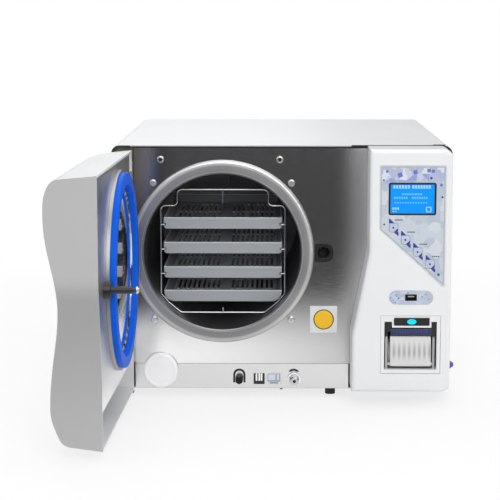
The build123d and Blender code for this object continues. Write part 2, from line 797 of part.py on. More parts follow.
port_mouth = 14.8
port_opening = 7.6
tongue = 1.8
with BuildPart() as usb_port:
    with BuildSketch(front.offset(console_face)):
        with Locations((port_x, port_z)):
            Rectangle(port_width, port_height)
    extrude(amount=-22.0)
    with BuildSketch(front.offset(console_face)):
        with Locations((port_x, port_z)):
            Rectangle(port_mouth, port_opening)
    extrude(amount=-14.0, mode=Mode.SUBTRACT)
    with BuildSketch(front.offset(console_face - 14.0)):
        with Locations((port_x, port_z + port_opening / 2 - tongue / 2)):
            Rectangle(port_mouth - 2, tongue)
    extrude(amount=11.0)
    with BuildSketch(front.offset(wall_back - 0.1)):
        with Locations((port_x, port_z)):
            Rectangle(port_width + 12, port_height + 5)
            Rectangle(port_width - 1, port_height - 1, mode=Mode.SUBTRACT)
    extrude(amount=-2.0)
save(usb_port.part, "usb_port")

# Printer bezel: a white frame with a tongue at the top that holds the feed key
bezel_face = console_face - 0.8
bezel_back = wall_back - 6.0
with BuildPart() as printer_bezel:
    with BuildSketch(front.offset(bezel_back)):
        with Locations(((printer_left + printer_right) / 2, (printer_top + printer_bottom) / 2)):
            Rectangle(printer_right - printer_left, printer_top - printer_bottom)
    extrude(amount=bezel_face - bezel_back)
    chamfer(printer_bezel.faces().sort_by(Axis.Y)[0].edges(), 1.0)
    with BuildSketch(front.offset(bezel_face + 1)):
        with Locations(((bay_left + bay_right) / 2, (bay_top + bay_bottom) / 2)):
            Rectangle(bay_right - bay_left, bay_top - bay_bottom)
        with Locations((printer_x + 1.6, bay_top)):
            Rectangle(feed_width + 6.0, 2 * 9.0, mode=Mode.SUBTRACT)
    extrude(amount=-20, mode=Mode.SUBTRACT)
    with BuildSketch(front.offset(bezel_face + 1)):
        with Locations((printer_x + 1.6, feed_z)):
            RectangleRounded(feed_width + 0.8, feed_height + 0.8, 2.0)
    extrude(amount=-20, mode=Mode.SUBTRACT)
save(printer_bezel.part, "printer_bezel")

with BuildPart() as feed_key:
    with BuildSketch(front.offset(bezel_back - slack)):
        with Locations((printer_x + 1.6, feed_z)):
            RectangleRounded(feed_width, feed_height, 1.8)
    extrude(amount=bezel_face + 1.2 - bezel_back + slack)
    fillet(feed_key.faces().sort_by(Axis.Y)[0].edges(), 0.8)
    with BuildSketch(front.offset(bezel_back - slack)):
        with Locations((printer_x + 1.6, feed_z + 1.2)):
            Rectangle(feed_width + 4, feed_height + 1.0)
    extrude(amount=-1.6)
save(feed_key.part, "feed_key")

# Printer frame: two cheeks joined by a floor and a back, with bearings for the paper roll
cheek = 3.4
cheek_inner_left = bay_left + 5.6
cheek_inner_right = bay_right - 5.6
frame_face = bezel_back - 0.2
frame_back = 12.0
frame_top = feed_z - feed_height / 2 - 3.0
with BuildPart() as printer_frame:
    add(box_between((cheek_inner_left - cheek, cheek_inner_right + cheek), (frame_back, frame_face),
                    (bay_bottom - 2.0, frame_top)))
    add(box_between((cheek_inner_left, cheek_inner_right), (frame_back + 2, frame_face + 1),
                    (bay_bottom, frame_top + 1)), mode=Mode.SUBTRACT)
    with BuildSketch(profile.offset(-cheek_inner_left + cheek + 1)):
        with Locations((roll_ahead, roll_z)):
            Circle(roll_pin + running)
    extrude(amount=-(cheek_inner_right - cheek_inner_left + 2 * cheek + 2), mode=Mode.SUBTRACT)
save(printer_frame.part, "printer_frame")

# Tear bar across the bay, on black side arms that stand on the frame's cheeks
with BuildPart() as print_bar:
    add(box_between((cover_left, cover_right + 0.6), (bezel_back - 8, console_face - 3.5),
                    (-119.2, -107.9)))
    add(box_between((bay_left + 1.2, cover_left + 1), (bezel_back, console_face - 5), (-113.5, -99.0)))
    add(box_between((cover_right + 0.1, bay_right - 1.2), (bezel_back, console_face - 5),
                    (-120.0, -99.0)))
    fillet(print_bar.faces().sort_by(Axis.Y)[0].edges().filter_by(Axis.X), 2.0)
save(print_bar.part, "print_bar")

# Fluted paper cover, hinged along its foot
cover_hinge_ahead = 60.0
cover_hinge_z = cover_bottom + 3.0
flute = (cover_right - cover_left) / flutes
with BuildPart() as printer_cover:
    with BuildSketch(level.offset(cover_bottom + 0.4)) as flute_plan:
        with Locations(((cover_left + cover_right) / 2, -(console_face - 8.5))):
            Rectangle(cover_right - cover_left, 7.0)
        for index in range(flutes):
            with Locations((cover_left + (index + 0.5) * flute, -(console_face - 0.2))):
                Circle(flute * 0.58, mode=Mode.SUBTRACT)
    extrude(amount=cover_top - cover_bottom - 0.8)
    with BuildSketch(profile):
        with BuildLine():
            Line((console_face - 13, cover_bottom), (console_face - 6, cover_bottom))
            ThreePointArc((console_face - 6, cover_bottom), (console_face - 4.2, cover_bottom + 20),
                          (console_face - 9, cover_top))
            Line((console_face - 9, cover_top), (console_face - 13, cover_top))
            Line((console_face - 13, cover_top), (console_face - 13, cover_bottom))
        make_face()
    extrude(amount=400, both=True, mode=Mode.INTERSECT)
    with BuildSketch(profile.offset(-cheek_inner_right + 0.4)):
        with Locations((cover_hinge_ahead, cover_hinge_z)):
            Circle(2.4)
    extrude(amount=cheek_inner_right - cheek_inner_left - 0.8)
save(printer_cover.part, "printer_cover")

# Paper roll with stub pins that turn in the cheeks
with BuildPart() as paper_roll:
    with BuildSketch(profile.offset(-cheek_inner_right + 1.2)):
        with Locations((roll_ahead, roll_z)):
            Circle(roll_radius)
    extrude(amount=cheek_inner_right - cheek_inner_left - 2.4)
    with BuildSketch(profile.offset(-cheek_inner_right - cheek + 0.4)):
        with Locations((roll_ahead, roll_z)):
            Circle(roll_pin)
    extrude(amount=cheek_inner_right - cheek_inner_left + 2 * cheek - 0.8)
save(paper_roll.part, "paper_roll")

# Air filter: cap with a raised rim in front, cartridge behind
with BuildPart() as filter_cap:
    with BuildSketch(front.offset(1.3)):
        with Locations((filter_x, filter_z)):
            Circle(filter_cap_radius)
    extrude(amount=filter_cap_depth - 1.3)
    fillet(filter_cap.faces().sort_by(Axis.Y)[0].edges(), 3.0)
    with BuildSketch(front.offset(filter_cap_depth)):
        with Locations((filter_x, filter_z)):
            Circle(filter_cap_radius - 5.0)
    extrude(amount=-1.6, mode=Mode.SUBTRACT)
    with BuildSketch(front.offset(1.3)):
        with Locations((filter_x, filter_z)):
            Circle(filter_neck)
    extrude(amount=-9.0)
save(filter_cap.part, "filter_cap")

with BuildPart() as filter_body:
    with BuildSketch(front.offset(-18.0)):
        with Locations((filter_x, filter_z)):
            Circle(filter_neck + 4.0)
    extrude(amount=-80.0)
    with BuildSketch(front.offset(-18.0)):
        with Locations((filter_x, filter_z)):
            Circle(filter_neck + 0.8)
            Circle(filter_neck - 3, mode=Mode.SUBTRACT)
    extrude(amount=10.0)
    add(box_between((filter_x - 16, filter_x + 16), (-90.0, -30.0),
                    (case_bottom + sheet + 0.1, filter_z)))
save(filter_body.part, "filter_body")

# Drain valve behind the strip and its small black knob
knob_length = 17.0
knob_radius = 6.0
with BuildPart() as drain_valve:
    add(bar_along_front(drain_x, service_z, 9.0, -34.0, -0.6))
    add(box_between((drain_x - 7, drain_x + 7), (-30, -6), (strip_bottom + sheet + 0.1, service_z)))
    add(bar_along_front(drain_x, service_z, 3.0 + running, -20.0, 1), mode=Mode.SUBTRACT)
save(drain_valve.part, "drain_valve")

with BuildPart() as drain_knob:
    add(bar_along_front(drain_x, service_z, 3.0, -18.0, 2))
    add(bar_along_front(drain_x, service_z, knob_radius, 1.4, knob_length))
    fillet(drain_knob.faces().sort_by(Axis.Y)[0].edges(), 1.4)
    with BuildSketch(front.offset(1.4)):
        with Locations((drain_x, service_z)):
            with PolarLocations(knob_radius + 0.5, 6):
                Circle(1.2)
    extrude(amount=knob_length, mode=Mode.SUBTRACT)
save(drain_knob.part, "drain_knob")

# Quick coupling with a sleeve, on a pale collar
with BuildPart() as quick_coupling:
    with BuildSketch(profile.offset(-coupling_x)):
        with BuildLine():
            Polyline((-20.0, service_z), (-20.0, service_z + 4.8), (1.1, service_z + 4.8),
                     (1.1, service_z + 9.5), (3.1, service_z + 9.5), (3.1, service_z + 7.6),
                     (13.0, service_z + 7.6), (14.0, service_z + 6.4), (21.0, service_z + 5.4),
                     (21.0, service_z + 2.6), (-16.0, service_z + 2.6), (-16.0, service_z), close=True)
        make_face()
    revolve(axis=Axis((chamber_x + coupling_x, front_y, chamber_z + service_z), (0, 1, 0)))
save(quick_coupling.part, "quick_coupling")

# Bare plates: two beside the drain, one larger to the right of the chamber
with BuildPart() as blank_plates:
    for centre, width in plate_marks:
        with BuildSketch(front.offset(1.0)):
            with Locations((centre, service_z)):
                RectangleRounded(width - 1.6, 18.0, 1.0)
        extrude(amount=0.6)
    with BuildSketch(front):
        with Locations((label_x, label_z)):
            RectangleRounded(label_size, label_size, 1.5)
    extrude(amount=0.8)
save(blank_plates.part, "blank_plates")


# Tray rack: two wire frames, joined by rails that carry the trays


def frame_reach(height):
    """How far the side wire stands from the middle at one height, in its straight and slanted parts."""
    if height > frame_knee:
        return frame_side
    share = (frame_knee - height) / (frame_knee - frame_heel[1])
    return frame_side + (frame_heel[0] - frame_side) * share


# The rails run under the sloping sides of the trays, clear of them by the slack
frame_top = 94.4
frame_shoulder = 71.4
frame_step = 69.0
frame_side = 97.7
frame_knee = -71.4
frame_heel = (85.5, -85.6)
frame_foot = (66.0, -101.4)
frame_half = [(frame_foot[0], frame_foot[1]), frame_heel, (frame_side, frame_knee),
              (frame_side, frame_step), (frame_shoulder, frame_step), (frame_shoulder, frame_top)]
frame_corners = frame_half + [(-x, z) for x, z in reversed(frame_half)]
side_slope = (tray_half_width - tray_floor_half) / tray_height
rail_x = tray_floor_half + side_slope * rail_rise + (slack + rail_radius) * math.hypot(1, side_slope)
with BuildPart() as tray_rack:
    for distance in (rack_front, rack_back):
        with BuildLine(front.offset(-distance)) as loop:
            FilletPolyline(*frame_corners, radius=7.0, close=True)
        start = loop.edges().filter_by(GeomType.LINE).sort_by(SortBy.LENGTH)[-1]
        with BuildSketch(Plane(origin=start @ 0.5, z_dir=start % 0.5)):
            Circle(wire)
        sweep(path=loop.wires()[0])
        with BuildSketch(level.offset(frame_top)):
            with Locations((0, distance)):
                Circle(rail_radius)
        extrude(amount=-21.0)
        with BuildSketch(level.offset(frame_foot[1])):
            with Locations((0, distance)):
                Circle(rail_radius)
        extrude(amount=8.0)
    for bottom in tray_levels:
        height = bottom + rail_rise
        for side in (-1, 1):
            for distance in (rack_front, rack_back):
                with BuildSketch(Plane.YZ.offset(chamber_x + side * rail_x)):
                    with Locations((front_y + distance, chamber_z + height)):
                        Circle(stub_radius)
                extrude(amount=side * (frame_reach(height) - rail_x))
            add(bar_along_front(side * rail_x, height, rail_radius, -rack_back - 2, -rack_front + 2))
save(tray_rack.part, "tray_rack")

# Trays: pressed from sheet with sloping sides, and two fields of long slots in the floor
tray_front = rack_front + wire + 2.0
tray_middle = tray_front + tray_length / 2
slot_length = (tray_length - 60.0) / 3


def tray_block(bottom, inset):
    """A tray's solid form, drawn in by one distance all round but at its open top."""
    side_inset = inset * math.hypot(1, side_slope)
    foot = tray_floor_half - side_inset + side_slope * inset
    rim = tray_half_width - side_inset
    with BuildPart() as block:
        with BuildSketch(front.offset(-tray_front - inset)):
            Polygon((-foot, bottom + inset), (foot, bottom + inset), (rim, bottom + tray_height),
                    (-rim, bottom + tray_height), align=None)
        extrude(amount=-tray_length + 2 * inset)
        top = block.faces().sort_by(Axis.Z)[-1].edges()
        fillet(block.edges() - top, tray_round - inset)
    return block.part


for number, bottom in enumerate(tray_levels, 1):
    with BuildPart() as tray:
        add(tray_block(bottom, 0))
        add(tray_block(bottom, tray_wall), mode=Mode.SUBTRACT)
        with BuildSketch(level.offset(bottom)):
            for side in (-1, 1):
                middle = side * (slot_start + slot_width / 2 + (slots_each_side - 1) / 2 * slot_pitch)
                with Locations((middle, tray_middle)):
                    with GridLocations(slot_pitch, slot_length + 8.0, slots_each_side, 3):
                        Rectangle(slot_width, slot_length)
        extrude(amount=4.0, mode=Mode.SUBTRACT)
    save(tray.part, f"tray_{number}")

# Side tap: a coned knob with grip flats on a spindle, and the valve it turns
tap_axis = Axis((chamber_x + case_right, front_y + tap_y, chamber_z + tap_z), (1, 0, 0))
with BuildPart() as side_knob:
    with BuildSketch(Plane.YZ.offset(chamber_x + case_right + slack)):
        with Locations((front_y + tap_y, chamber_z + tap_z)):
            Circle(tap_radius)
    extrude(amount=tap_reach - slack, taper=tap_cone)
    with BuildSketch(Plane.YZ.offset(chamber_x + case_right + slack + 1.5)):
        with Locations((front_y + tap_y, chamber_z + tap_z)):
            with PolarLocations(tap_radius + 0.6, 8):
                Circle(1.8)
    extrude(amount=tap_reach, mode=Mode.SUBTRACT)
    with BuildSketch(Plane.YZ.offset(chamber_x + case_right - 18.0)):
        with Locations((front_y + tap_y, chamber_z + tap_z)):
            Circle(4.0)
    extrude(amount=19.0)
save(side_knob.part, "side_knob")

with BuildPart() as side_valve:
    with BuildSketch(Plane.YZ.offset(chamber_x + case_right - 30.0)):
        with Locations((front_y + tap_y, chamber_z + tap_z)):
            Circle(11.0)
    extrude(amount=27.5)
    with BuildSketch(Plane.YZ.offset(chamber_x + case_right - 20.0)):
        with Locations((front_y + tap_y, chamber_z + tap_z)):
            Circle(4.0 + running)
    extrude(amount=20.0, mode=Mode.SUBTRACT)
    add(box_between((case_right - 28, case_right - 8), (-tap_y - 9, -tap_y + 9),
                    (case_bottom + sheet + 0.1, tap_z - 5)))
save(side_valve.part, "side_valve")

# Rear panel with a round fan opening, vent slots, and a cut-out for the mains inlet
inlet_width = 28.0
inlet_height = 48.0
with BuildPart() as rear_panel:
    add(box_between((pan_left, pan_right), (-rear_y, -rear_y + sheet),
                    (case_bottom + sheet + 0.1, panel_top)))
    extrude(cover_outline(cover_wall + slack), amount=-case_depth, mode=Mode.INTERSECT)
    add(bar_along_front(fan_x, fan_z, fan_half - 3, -rear_y - 3, -rear_y + 3), mode=Mode.SUBTRACT)
    with BuildSketch(front.offset(-rear_y - 2)):
        with Locations((260.0, 60.0)):
            with GridLocations(46.0, 11.0, 3, 9):
                SlotOverall(36.0, 4.0)
        with Locations((inlet_x, inlet_z)):
            Rectangle(inlet_width + 0.4, inlet_height + 0.4)
    extrude(amount=6, mode=Mode.SUBTRACT)
save(rear_panel.part, "rear_panel")

# Fan: a square frame with a motor hub on four spokes, and its rotor
with BuildPart() as fan_frame:
    with BuildSketch(front.offset(-rear_y + sheet + 0.1)):
        with Locations((fan_x, fan_z)):
            RectangleRounded(2 * fan_half, 2 * fan_half, 4.0)
            Circle(fan_half - 2.5, mode=Mode.SUBTRACT)
    extrude(amount=25.0)
    with BuildSketch(front.offset(-rear_y + sheet + 0.1)):
        with Locations((fan_x, fan_z)):
            Circle(14.0)
            with PolarLocations(26.0, 4, start_angle=45):
                Rectangle(26.0, 4.0)
    extrude(amount=3.0)
    add(bar_along_front(fan_x, fan_z, 2.0, -rear_y + sheet + 3.0, -rear_y + sheet + 18.0))
save(fan_frame.part, "fan_frame")

blade_start = -rear_y + sheet + 5.0
with BuildPart() as fan_rotor:
    add(bar_along_front(fan_x, fan_z, 14.0, blade_start, blade_start + 18))
    with BuildSketch(front.offset(blade_start + 2)) as blades:
        with Locations((fan_x, fan_z)):
            with PolarLocations(24.0, 7):
                Rectangle(22.0, 3.0)
    extrude(amount=14.0)
    add(bar_along_front(fan_x, fan_z, 2.0 + running, blade_start - 1, blade_start + 14),
        mode=Mode.SUBTRACT)
save(fan_rotor.part, "fan_rotor")

# Mains inlet block with its socket and the rocker above it
rocker_z = inlet_z + 13.0
socket_z = inlet_z - 8.0
rear_face = -rear_y
rocker_pivot = 1.6
rocker_centre = (chamber_x + inlet_x, front_y + rear_y - 4.0, chamber_z + rocker_z)
with BuildPart() as mains_inlet:
    with BuildSketch(front.offset(rear_face - 2.0)):
        with Locations((inlet_x, inlet_z)):
            RectangleRounded(inlet_width + 8, inlet_height + 8, 3.0)
    extrude(amount=2.0 - 0.05)
    with BuildSketch(front.offset(rear_face - 2.0)):
        with Locations((inlet_x, inlet_z)):
            Rectangle(inlet_width, inlet_height)
    extrude(amount=32.0)
    with BuildSketch(front.offset(rear_face - 3.0)):
        with Locations((inlet_x, socket_z)):
            Rectangle(24.4, 17.0)
        with Locations((inlet_x, rocker_z)):
            Rectangle(20.6, 14.6)
    extrude(amount=19.0, mode=Mode.SUBTRACT)
    with BuildSketch(front.offset(rear_face + 16.5)):
        with Locations((inlet_x - 7, socket_z - 2), (inlet_x + 7, socket_z - 2), (inlet_x, socket_z + 2)):
            Rectangle(2.0, 5.0)
    extrude(amount=-14.0)
    with BuildSketch(Plane(origin=rocker_centre, x_dir=(0, 1, 0), z_dir=(1, 0, 0))):
        Circle(rocker_pivot + running)
    extrude(amount=12.0, both=True, mode=Mode.SUBTRACT)
save(mains_inlet.part, "mains_inlet")

rocker_tilt = 10.0
with BuildPart() as power_rocker:
    with BuildSketch(Plane(origin=rocker_centre, x_dir=(0, 1, 0), z_dir=(1, 0, 0))):
        with BuildLine():
            Polyline((-6.0, -2.0), (-6.0, 2.0), (4.0, 6.3), (6.6, 5.4), (5.0, 0), (6.6, -5.4),
                     (4.0, -6.3), close=True)
        make_face()
    extrude(amount=9.6, both=True)
    with BuildSketch(Plane(origin=rocker_centre, x_dir=(0, 1, 0), z_dir=(1, 0, 0))):
        Circle(rocker_pivot)
    extrude(amount=11.7, both=True)
rocker_axis = Axis(rocker_centre, (1, 0, 0))
save(power_rocker.part.rotate(rocker_axis, rocker_tilt), "power_rocker")

# Plant behind the console: water tanks, vacuum pump and steam generator
plant_floor = case_bottom + sheet + 0.1
tank_left = 178.0
tank_right = 346.0
tank_back = case_depth - 58.0
tank_front = tank_back - 0.371 * case_depth
tank_height = 150.0
tank_gap = 0.4
with BuildPart() as used_water_tank:
    add(box_between((tank_left, tank_right), (-tank_back, -tank_front),
                    (plant_floor, plant_floor + tank_height)))
    fillet(used_water_tank.edges().filter_by(Axis.Z), 14.0)
    with BuildSketch(front.offset(-tank_front)):
        with Locations((tank_left + 30, plant_floor + 20), (tank_right - 30, plant_floor + 20)):
            Circle(7.0)
    extrude(amount=14.0)
save(used_water_tank.part, "used_water_tank")

upper_floor = plant_floor + tank_height + tank_gap
with BuildPart() as clean_water_tank:
    add(box_between((tank_left, tank_right), (-tank_back, -tank_front),
                    (upper_floor, upper_floor + tank_height)))
    fillet(clean_water_tank.edges().filter_by(Axis.Z), 14.0)
    with BuildSketch(level.offset(upper_floor + tank_height)):
        with Locations(((tank_left + tank_right) / 2, (tank_front + tank_back) / 2)):
            Circle(34.0)
    extrude(amount=16.0)
save(clean_water_tank.part, "clean_water_tank")

pump_x = (tank_left + tank_right) / 2 - 12.0
pump_y = tank_front - 130.0
pump_base = 14.0
pump_top = 95.0
with BuildPart() as vacuum_pump:
    add(box_between((pump_x - 50, pump_x + 50), (-pump_y - 60, -pump_y + 35),
                    (plant_floor, plant_floor + pump_base)))
    add(box_between((pump_x - 35, pump_x + 35), (-pump_y - 20, -pump_y + 50),
                    (plant_floor + pump_base, plant_floor + pump_top)))
    with BuildSketch(front.offset(-pump_y - 20)):
        with Locations((pump_x, plant_floor + (pump_base + pump_top) / 2)):
            Circle(38.0)
    extrude(amount=-75.0)
    for head in (pump_x - 22.0, pump_x + 22.0):
        with BuildSketch(level.offset(plant_floor + pump_top)):
            with Locations((head, pump_y - 15)):
                Circle(17.0)
        extrude(amount=22.0)
save(vacuum_pump.part, "vacuum_pump")

boiler_x = pump_x
boiler_y = 86.0
with BuildPart() as steam_generator:
    with BuildSketch(level.offset(-20.0)):
        with Locations((boiler_x, boiler_y)):
            Circle(36.0)
    extrude(amount=120.0)
    fillet(steam_generator.edges().filter_by(GeomType.CIRCLE), 10.0)
    with BuildSketch(level.offset(100.0)):
        with Locations((boiler_x - 14, boiler_y), (boiler_x + 14, boiler_y)):
            Circle(6.0)
    extrude(amount=16.0)
    add(box_between((boiler_x - 44, boiler_x + 44), (-boiler_y - 2, -boiler_y + 2),
                    (plant_floor, 60.0)))
    add(box_between((boiler_x - 44, boiler_x + 44), (-boiler_y - 22, -boiler_y + 22),
                    (plant_floor, plant_floor + 3)))
save(steam_generator.part, "steam_generator")
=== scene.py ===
import bmesh
import bpy
import math
from mathutils import Matrix, Vector


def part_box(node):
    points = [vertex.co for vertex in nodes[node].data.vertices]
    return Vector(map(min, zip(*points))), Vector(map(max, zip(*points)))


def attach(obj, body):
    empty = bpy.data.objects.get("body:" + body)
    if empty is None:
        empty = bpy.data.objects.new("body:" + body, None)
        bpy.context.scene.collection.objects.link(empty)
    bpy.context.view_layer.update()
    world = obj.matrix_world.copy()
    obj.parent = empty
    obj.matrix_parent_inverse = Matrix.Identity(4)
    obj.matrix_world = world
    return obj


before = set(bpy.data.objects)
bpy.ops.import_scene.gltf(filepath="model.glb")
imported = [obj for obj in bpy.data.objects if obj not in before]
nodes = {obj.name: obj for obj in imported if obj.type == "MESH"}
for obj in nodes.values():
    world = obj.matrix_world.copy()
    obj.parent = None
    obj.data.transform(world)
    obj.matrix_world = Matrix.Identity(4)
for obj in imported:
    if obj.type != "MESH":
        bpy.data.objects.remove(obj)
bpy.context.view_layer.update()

# The chamber axis and the steel front, in metres
CHAMBER_X = -0.010
FRONT_Y = -0.275
CHAMBER_Z = 0.2325
KEY_PLACES = ((261.2, 47.7), (279.6, 29.2), (298.3, 10.7), (317.3, -8.0))
OVERLAY_LEFT = 240.7
OVERLAY_RIGHT = 338.9
OVERLAY_STEP = 45.3
OVERLAY_TIP = -41.2
PORT_X = 289.0
PORT_Z = -59.4
SERVICE_Z = -202.2
COVER_LEFT = 258.8
COVER_RIGHT = 320.8
FLUTES = 8
RAIL_RISE = 7.0
COUNTING = ("one", "two", "three", "four")

# What polished metal sees: the bench ends in front of the object, in a dim room
HORIZON_DIM = 0.06
BENCH_EDGE = -0.60
ROOM_START = -1.25
SURROUND_STRENGTH = 0.42


def at(across, ahead, up):
    """A place given across, in front of the steel and up from the chamber axis, in millimetres."""
    return Vector((CHAMBER_X + across / 1000, FRONT_Y - ahead / 1000, CHAMBER_Z + up / 1000))


# ---------------------------------------------------------------- camera and light

def studio():
    """Camera at the photograph's angle, a pale floor, soft lamps and a white surround."""
    scene = bpy.context.scene
    scene.view_settings.view_transform = "Standard"

    bpy.ops.object.camera_add(location=(0.0723, -2.8016, 0.6105),
                              rotation=(math.radians(90 - 8.4513), 0, math.radians(0.8874)))
    camera = bpy.context.object
    camera.name = "studio_camera"
    camera.data.lens = 117.91
    camera.data.sensor_width = 36.0
    camera.data.clip_start = 0.05
    camera.data.clip_end = 60
    scene.camera = camera

    bpy.ops.mesh.primitive_plane_add(size=16, location=(0, 0, 0))
    floor = bpy.context.object
    floor.name = "studio_floor"
    floor.data.materials.append(floor_finish())

    for name, place, size, power in (
            ("lamp_front", (0.5, -2.9, 1.7), 2.2, 44),
            ("lamp_left", (-2.3, -0.9, 1.6), 1.6, 11),
            ("lamp_right", (2.4, 0.2, 1.8), 1.6, 14),
            ("lamp_back", (-0.6, 2.6, 1.8), 1.8, 14),
            ("lamp_top", (0.1, 0.1, 2.8), 2.2, 26)):
        bpy.ops.object.light_add(type="AREA", location=place)
        lamp = bpy.context.object
        lamp.name = name
        lamp.data.size = size
        lamp.data.energy = power
        aim = Vector((0.02, -0.15, 0.22)) - Vector(place)
        lamp.rotation_euler = aim.to_track_quat("-Z", "Y").to_euler()

    scene.world = surround()


def combine(tree, operation, first, second):
    """Two values brought together by one operation."""
    node = tree.nodes.new("ShaderNodeMath")
    node.operation = operation
    tree.links.new(first, node.inputs[0])
    tree.links.new(second, node.inputs[1])
    return node.outputs[0]


def blend_values(tree, share, first, second):
    """Two values or plain numbers mixed by a share."""
    node = tree.nodes.new("ShaderNodeMix")
    tree.links.new(share, node.inputs["Factor"])
    for socket, value in (("A", first), ("B", second)):
        if isinstance(value, float):
            node.inputs[socket].default_value = value
        else:
            tree.links.new(value, node.inputs[socket])
    return node.outputs["Result"]


def part_of(tree, vector, axis):
    """One coordinate of a vector."""
    node = tree.nodes.new("ShaderNodeSeparateXYZ")
    tree.links.new(vector, node.inputs[0])
    return node.outputs[axis]


def ramp(tree, value, start, end, low, high):
    """A value brought from one range into another, and held at its ends."""
    node = tree.nodes.new("ShaderNodeMapRange")
    node.interpolation_type = "SMOOTHSTEP"
    for socket, number in (("From Min", start), ("From Max", end),
                           ("To Min", low), ("To Max", high)):
        node.inputs[socket].default_value = number
    tree.links.new(value, node.inputs["Value"])
    return node.outputs["Result"]


def shown_background(tree):
    """1 for the rays that show the background: seen straight, through glass or in metal."""
    path = tree.nodes.new("ShaderNodeLightPath")
    mirrored = path.outputs["Is Glossy Ray"]
    straight = combine(tree, "MAXIMUM", path.outputs["Is Camera Ray"],
                       path.outputs["Is Transmission Ray"])
    return combine(tree, "MAXIMUM", straight, mirrored), mirrored


def surround():
    """Even light for the object; white to the eye; dim near the horizon where metal mirrors it."""
    world = bpy.data.worlds.new("studio_surround")
    world.use_nodes = True
    tree = world.node_tree
    tree.nodes.clear()
    out = tree.nodes.new("ShaderNodeOutputWorld")
    mix = tree.nodes.new("ShaderNodeMixShader")
    lit = tree.nodes.new("ShaderNodeBackground")
    seen = tree.nodes.new("ShaderNodeBackground")
    shown, mirrored = shown_background(tree)
    way = tree.nodes.new("ShaderNodeTexCoord")
    height = ramp(tree, part_of(tree, way.outputs["Generated"], "Z"), 0.1, 0.8, HORIZON_DIM, 1.0)
    tree.links.new(blend_values(tree, mirrored, 1.0, height), seen.inputs["Strength"])
    lit.inputs["Strength"].default_value = SURROUND_STRENGTH
    for background in (lit, seen):
        background.inputs["Color"].default_value = (1, 1, 1, 1)
    tree.links.new(shown, mix.inputs["Fac"])
    tree.links.new(lit.outputs[0], mix.inputs[1])
    tree.links.new(seen.outputs[0], mix.inputs[2])
    tree.links.new(mix.outputs[0], out.inputs["Surface"])
    return world


def floor_finish():
    """White bench that keeps the object's shadow; metal sees it end in a dark room in front."""
    material, tree, bsdf, coords = shader("studio_floor")
    bsdf.inputs["Roughness"].default_value = 0.7
    bsdf.inputs["Specular IOR Level"].default_value = 0.1
    grain = noise(tree, coords, 40.0, 3.0)
    tree.links.new(shade_between(tree, grain, (0.90, 0.90, 0.90), (0.93, 0.93, 0.93)),
                   bsdf.inputs["Base Color"])
    shown, mirrored = shown_background(tree)
    bench = ramp(tree, part_of(tree, coords, "Y"), ROOM_START, BENCH_EDGE, HORIZON_DIM, 1.0)
    glow = tree.nodes.new("ShaderNodeEmission")
    tree.links.new(blend_values(tree, mirrored, 1.0, bench), glow.inputs["Strength"])
    distance = tree.nodes.new("ShaderNodeVectorMath")
    distance.operation = "LENGTH"
    tree.links.new(coords, distance.inputs[0])
    far = ramp(tree, distance.outputs["Value"], 0.7, 1.3, 0.72, 1.0)
    mix = tree.nodes.new("ShaderNodeMixShader")
    tree.links.new(combine(tree, "MULTIPLY", shown, far), mix.inputs["Fac"])
    tree.links.new(bsdf.outputs[0], mix.inputs[1])
    tree.links.new(glow.outputs[0], mix.inputs[2])
    tree.links.new(mix.outputs[0], tree.nodes["Material Output"].inputs["Surface"])
    return material


# ---------------------------------------------------------------- finishes

def shader(name):
    """A new material with its tree, its Principled shader and Object coordinates."""
    material = bpy.data.materials.new(name)
    material.use_nodes = True
    tree = material.node_tree
    bsdf = tree.nodes["Principled BSDF"]
    place = tree.nodes.new("ShaderNodeTexCoord")
    return material, tree, bsdf, place.outputs["Object"]


def noise(tree, coords, scale, detail=3.0, stretch=None):
    """Noise on Object coordinates, stretched along an axis for brushing."""
    if stretch:
        mapping = tree.nodes.new("ShaderNodeMapping")
        mapping.inputs["Scale"].default_value = stretch
        tree.links.new(coords, mapping.inputs["Vector"])
        coords = mapping.outputs["Vector"]
    node = tree.nodes.new("ShaderNodeTexNoise")
    node.inputs["Scale"].default_value = scale
    node.inputs["Detail"].default_value = detail
    tree.links.new(coords, node.inputs["Vector"])
    return node.outputs["Fac"]


def spread(tree, value, low, high):
    """The noise value brought into a range."""
    node = tree.nodes.new("ShaderNodeMapRange")
    node.inputs["From Min"].default_value = 0.3
    node.inputs["From Max"].default_value = 0.7
    node.inputs["To Min"].default_value = low
    node.inputs["To Max"].default_value = high
    tree.links.new(value, node.inputs["Value"])
    return node.outputs["Result"]


def shade_between(tree, value, dark, light):
    """A colour between two, led by a value."""
    node = tree.nodes.new("ShaderNodeMix")
    node.data_type = "RGBA"
    node.inputs["A"].default_value = (*dark, 1)
    node.inputs["B"].default_value = (*light, 1)
    tree.links.new(value, node.inputs["Factor"])
    return node.outputs["Result"]


def relief(tree, bsdf, value, height):
    """Bump from a value, with its height in metres."""
    node = tree.nodes.new("ShaderNodeBump")
    node.inputs["Strength"].default_value = 1.0
    node.inputs["Distance"].default_value = height
    tree.links.new(value, node.inputs["Height"])
    tree.links.new(node.outputs["Normal"], bsdf.inputs["Normal"])


def tint(colour, factor):
    """A colour made darker or lighter by a factor."""
    return tuple(min(1.0, c * factor) for c in colour)


def moulding(name, colour, rough=0.35, grain=1500, depth=0.00002, shine=0.5):
    """Moulded plastic or powder coat: fine grain, and a gloss that varies faintly."""
    material, tree, bsdf, coords = shader(name)
    bsdf.inputs["Specular IOR Level"].default_value = shine
    patches = noise(tree, coords, 6.0, 4.0)
    tree.links.new(shade_between(tree, patches, tint(colour, 0.985), tint(colour, 1.01)),
                   bsdf.inputs["Base Color"])
    smears = noise(tree, coords, 22.0, 3.0)
    tree.links.new(spread(tree, smears, rough - 0.015, rough + 0.025), bsdf.inputs["Roughness"])
    relief(tree, bsdf, noise(tree, coords, grain, 2.0), depth)
    return material


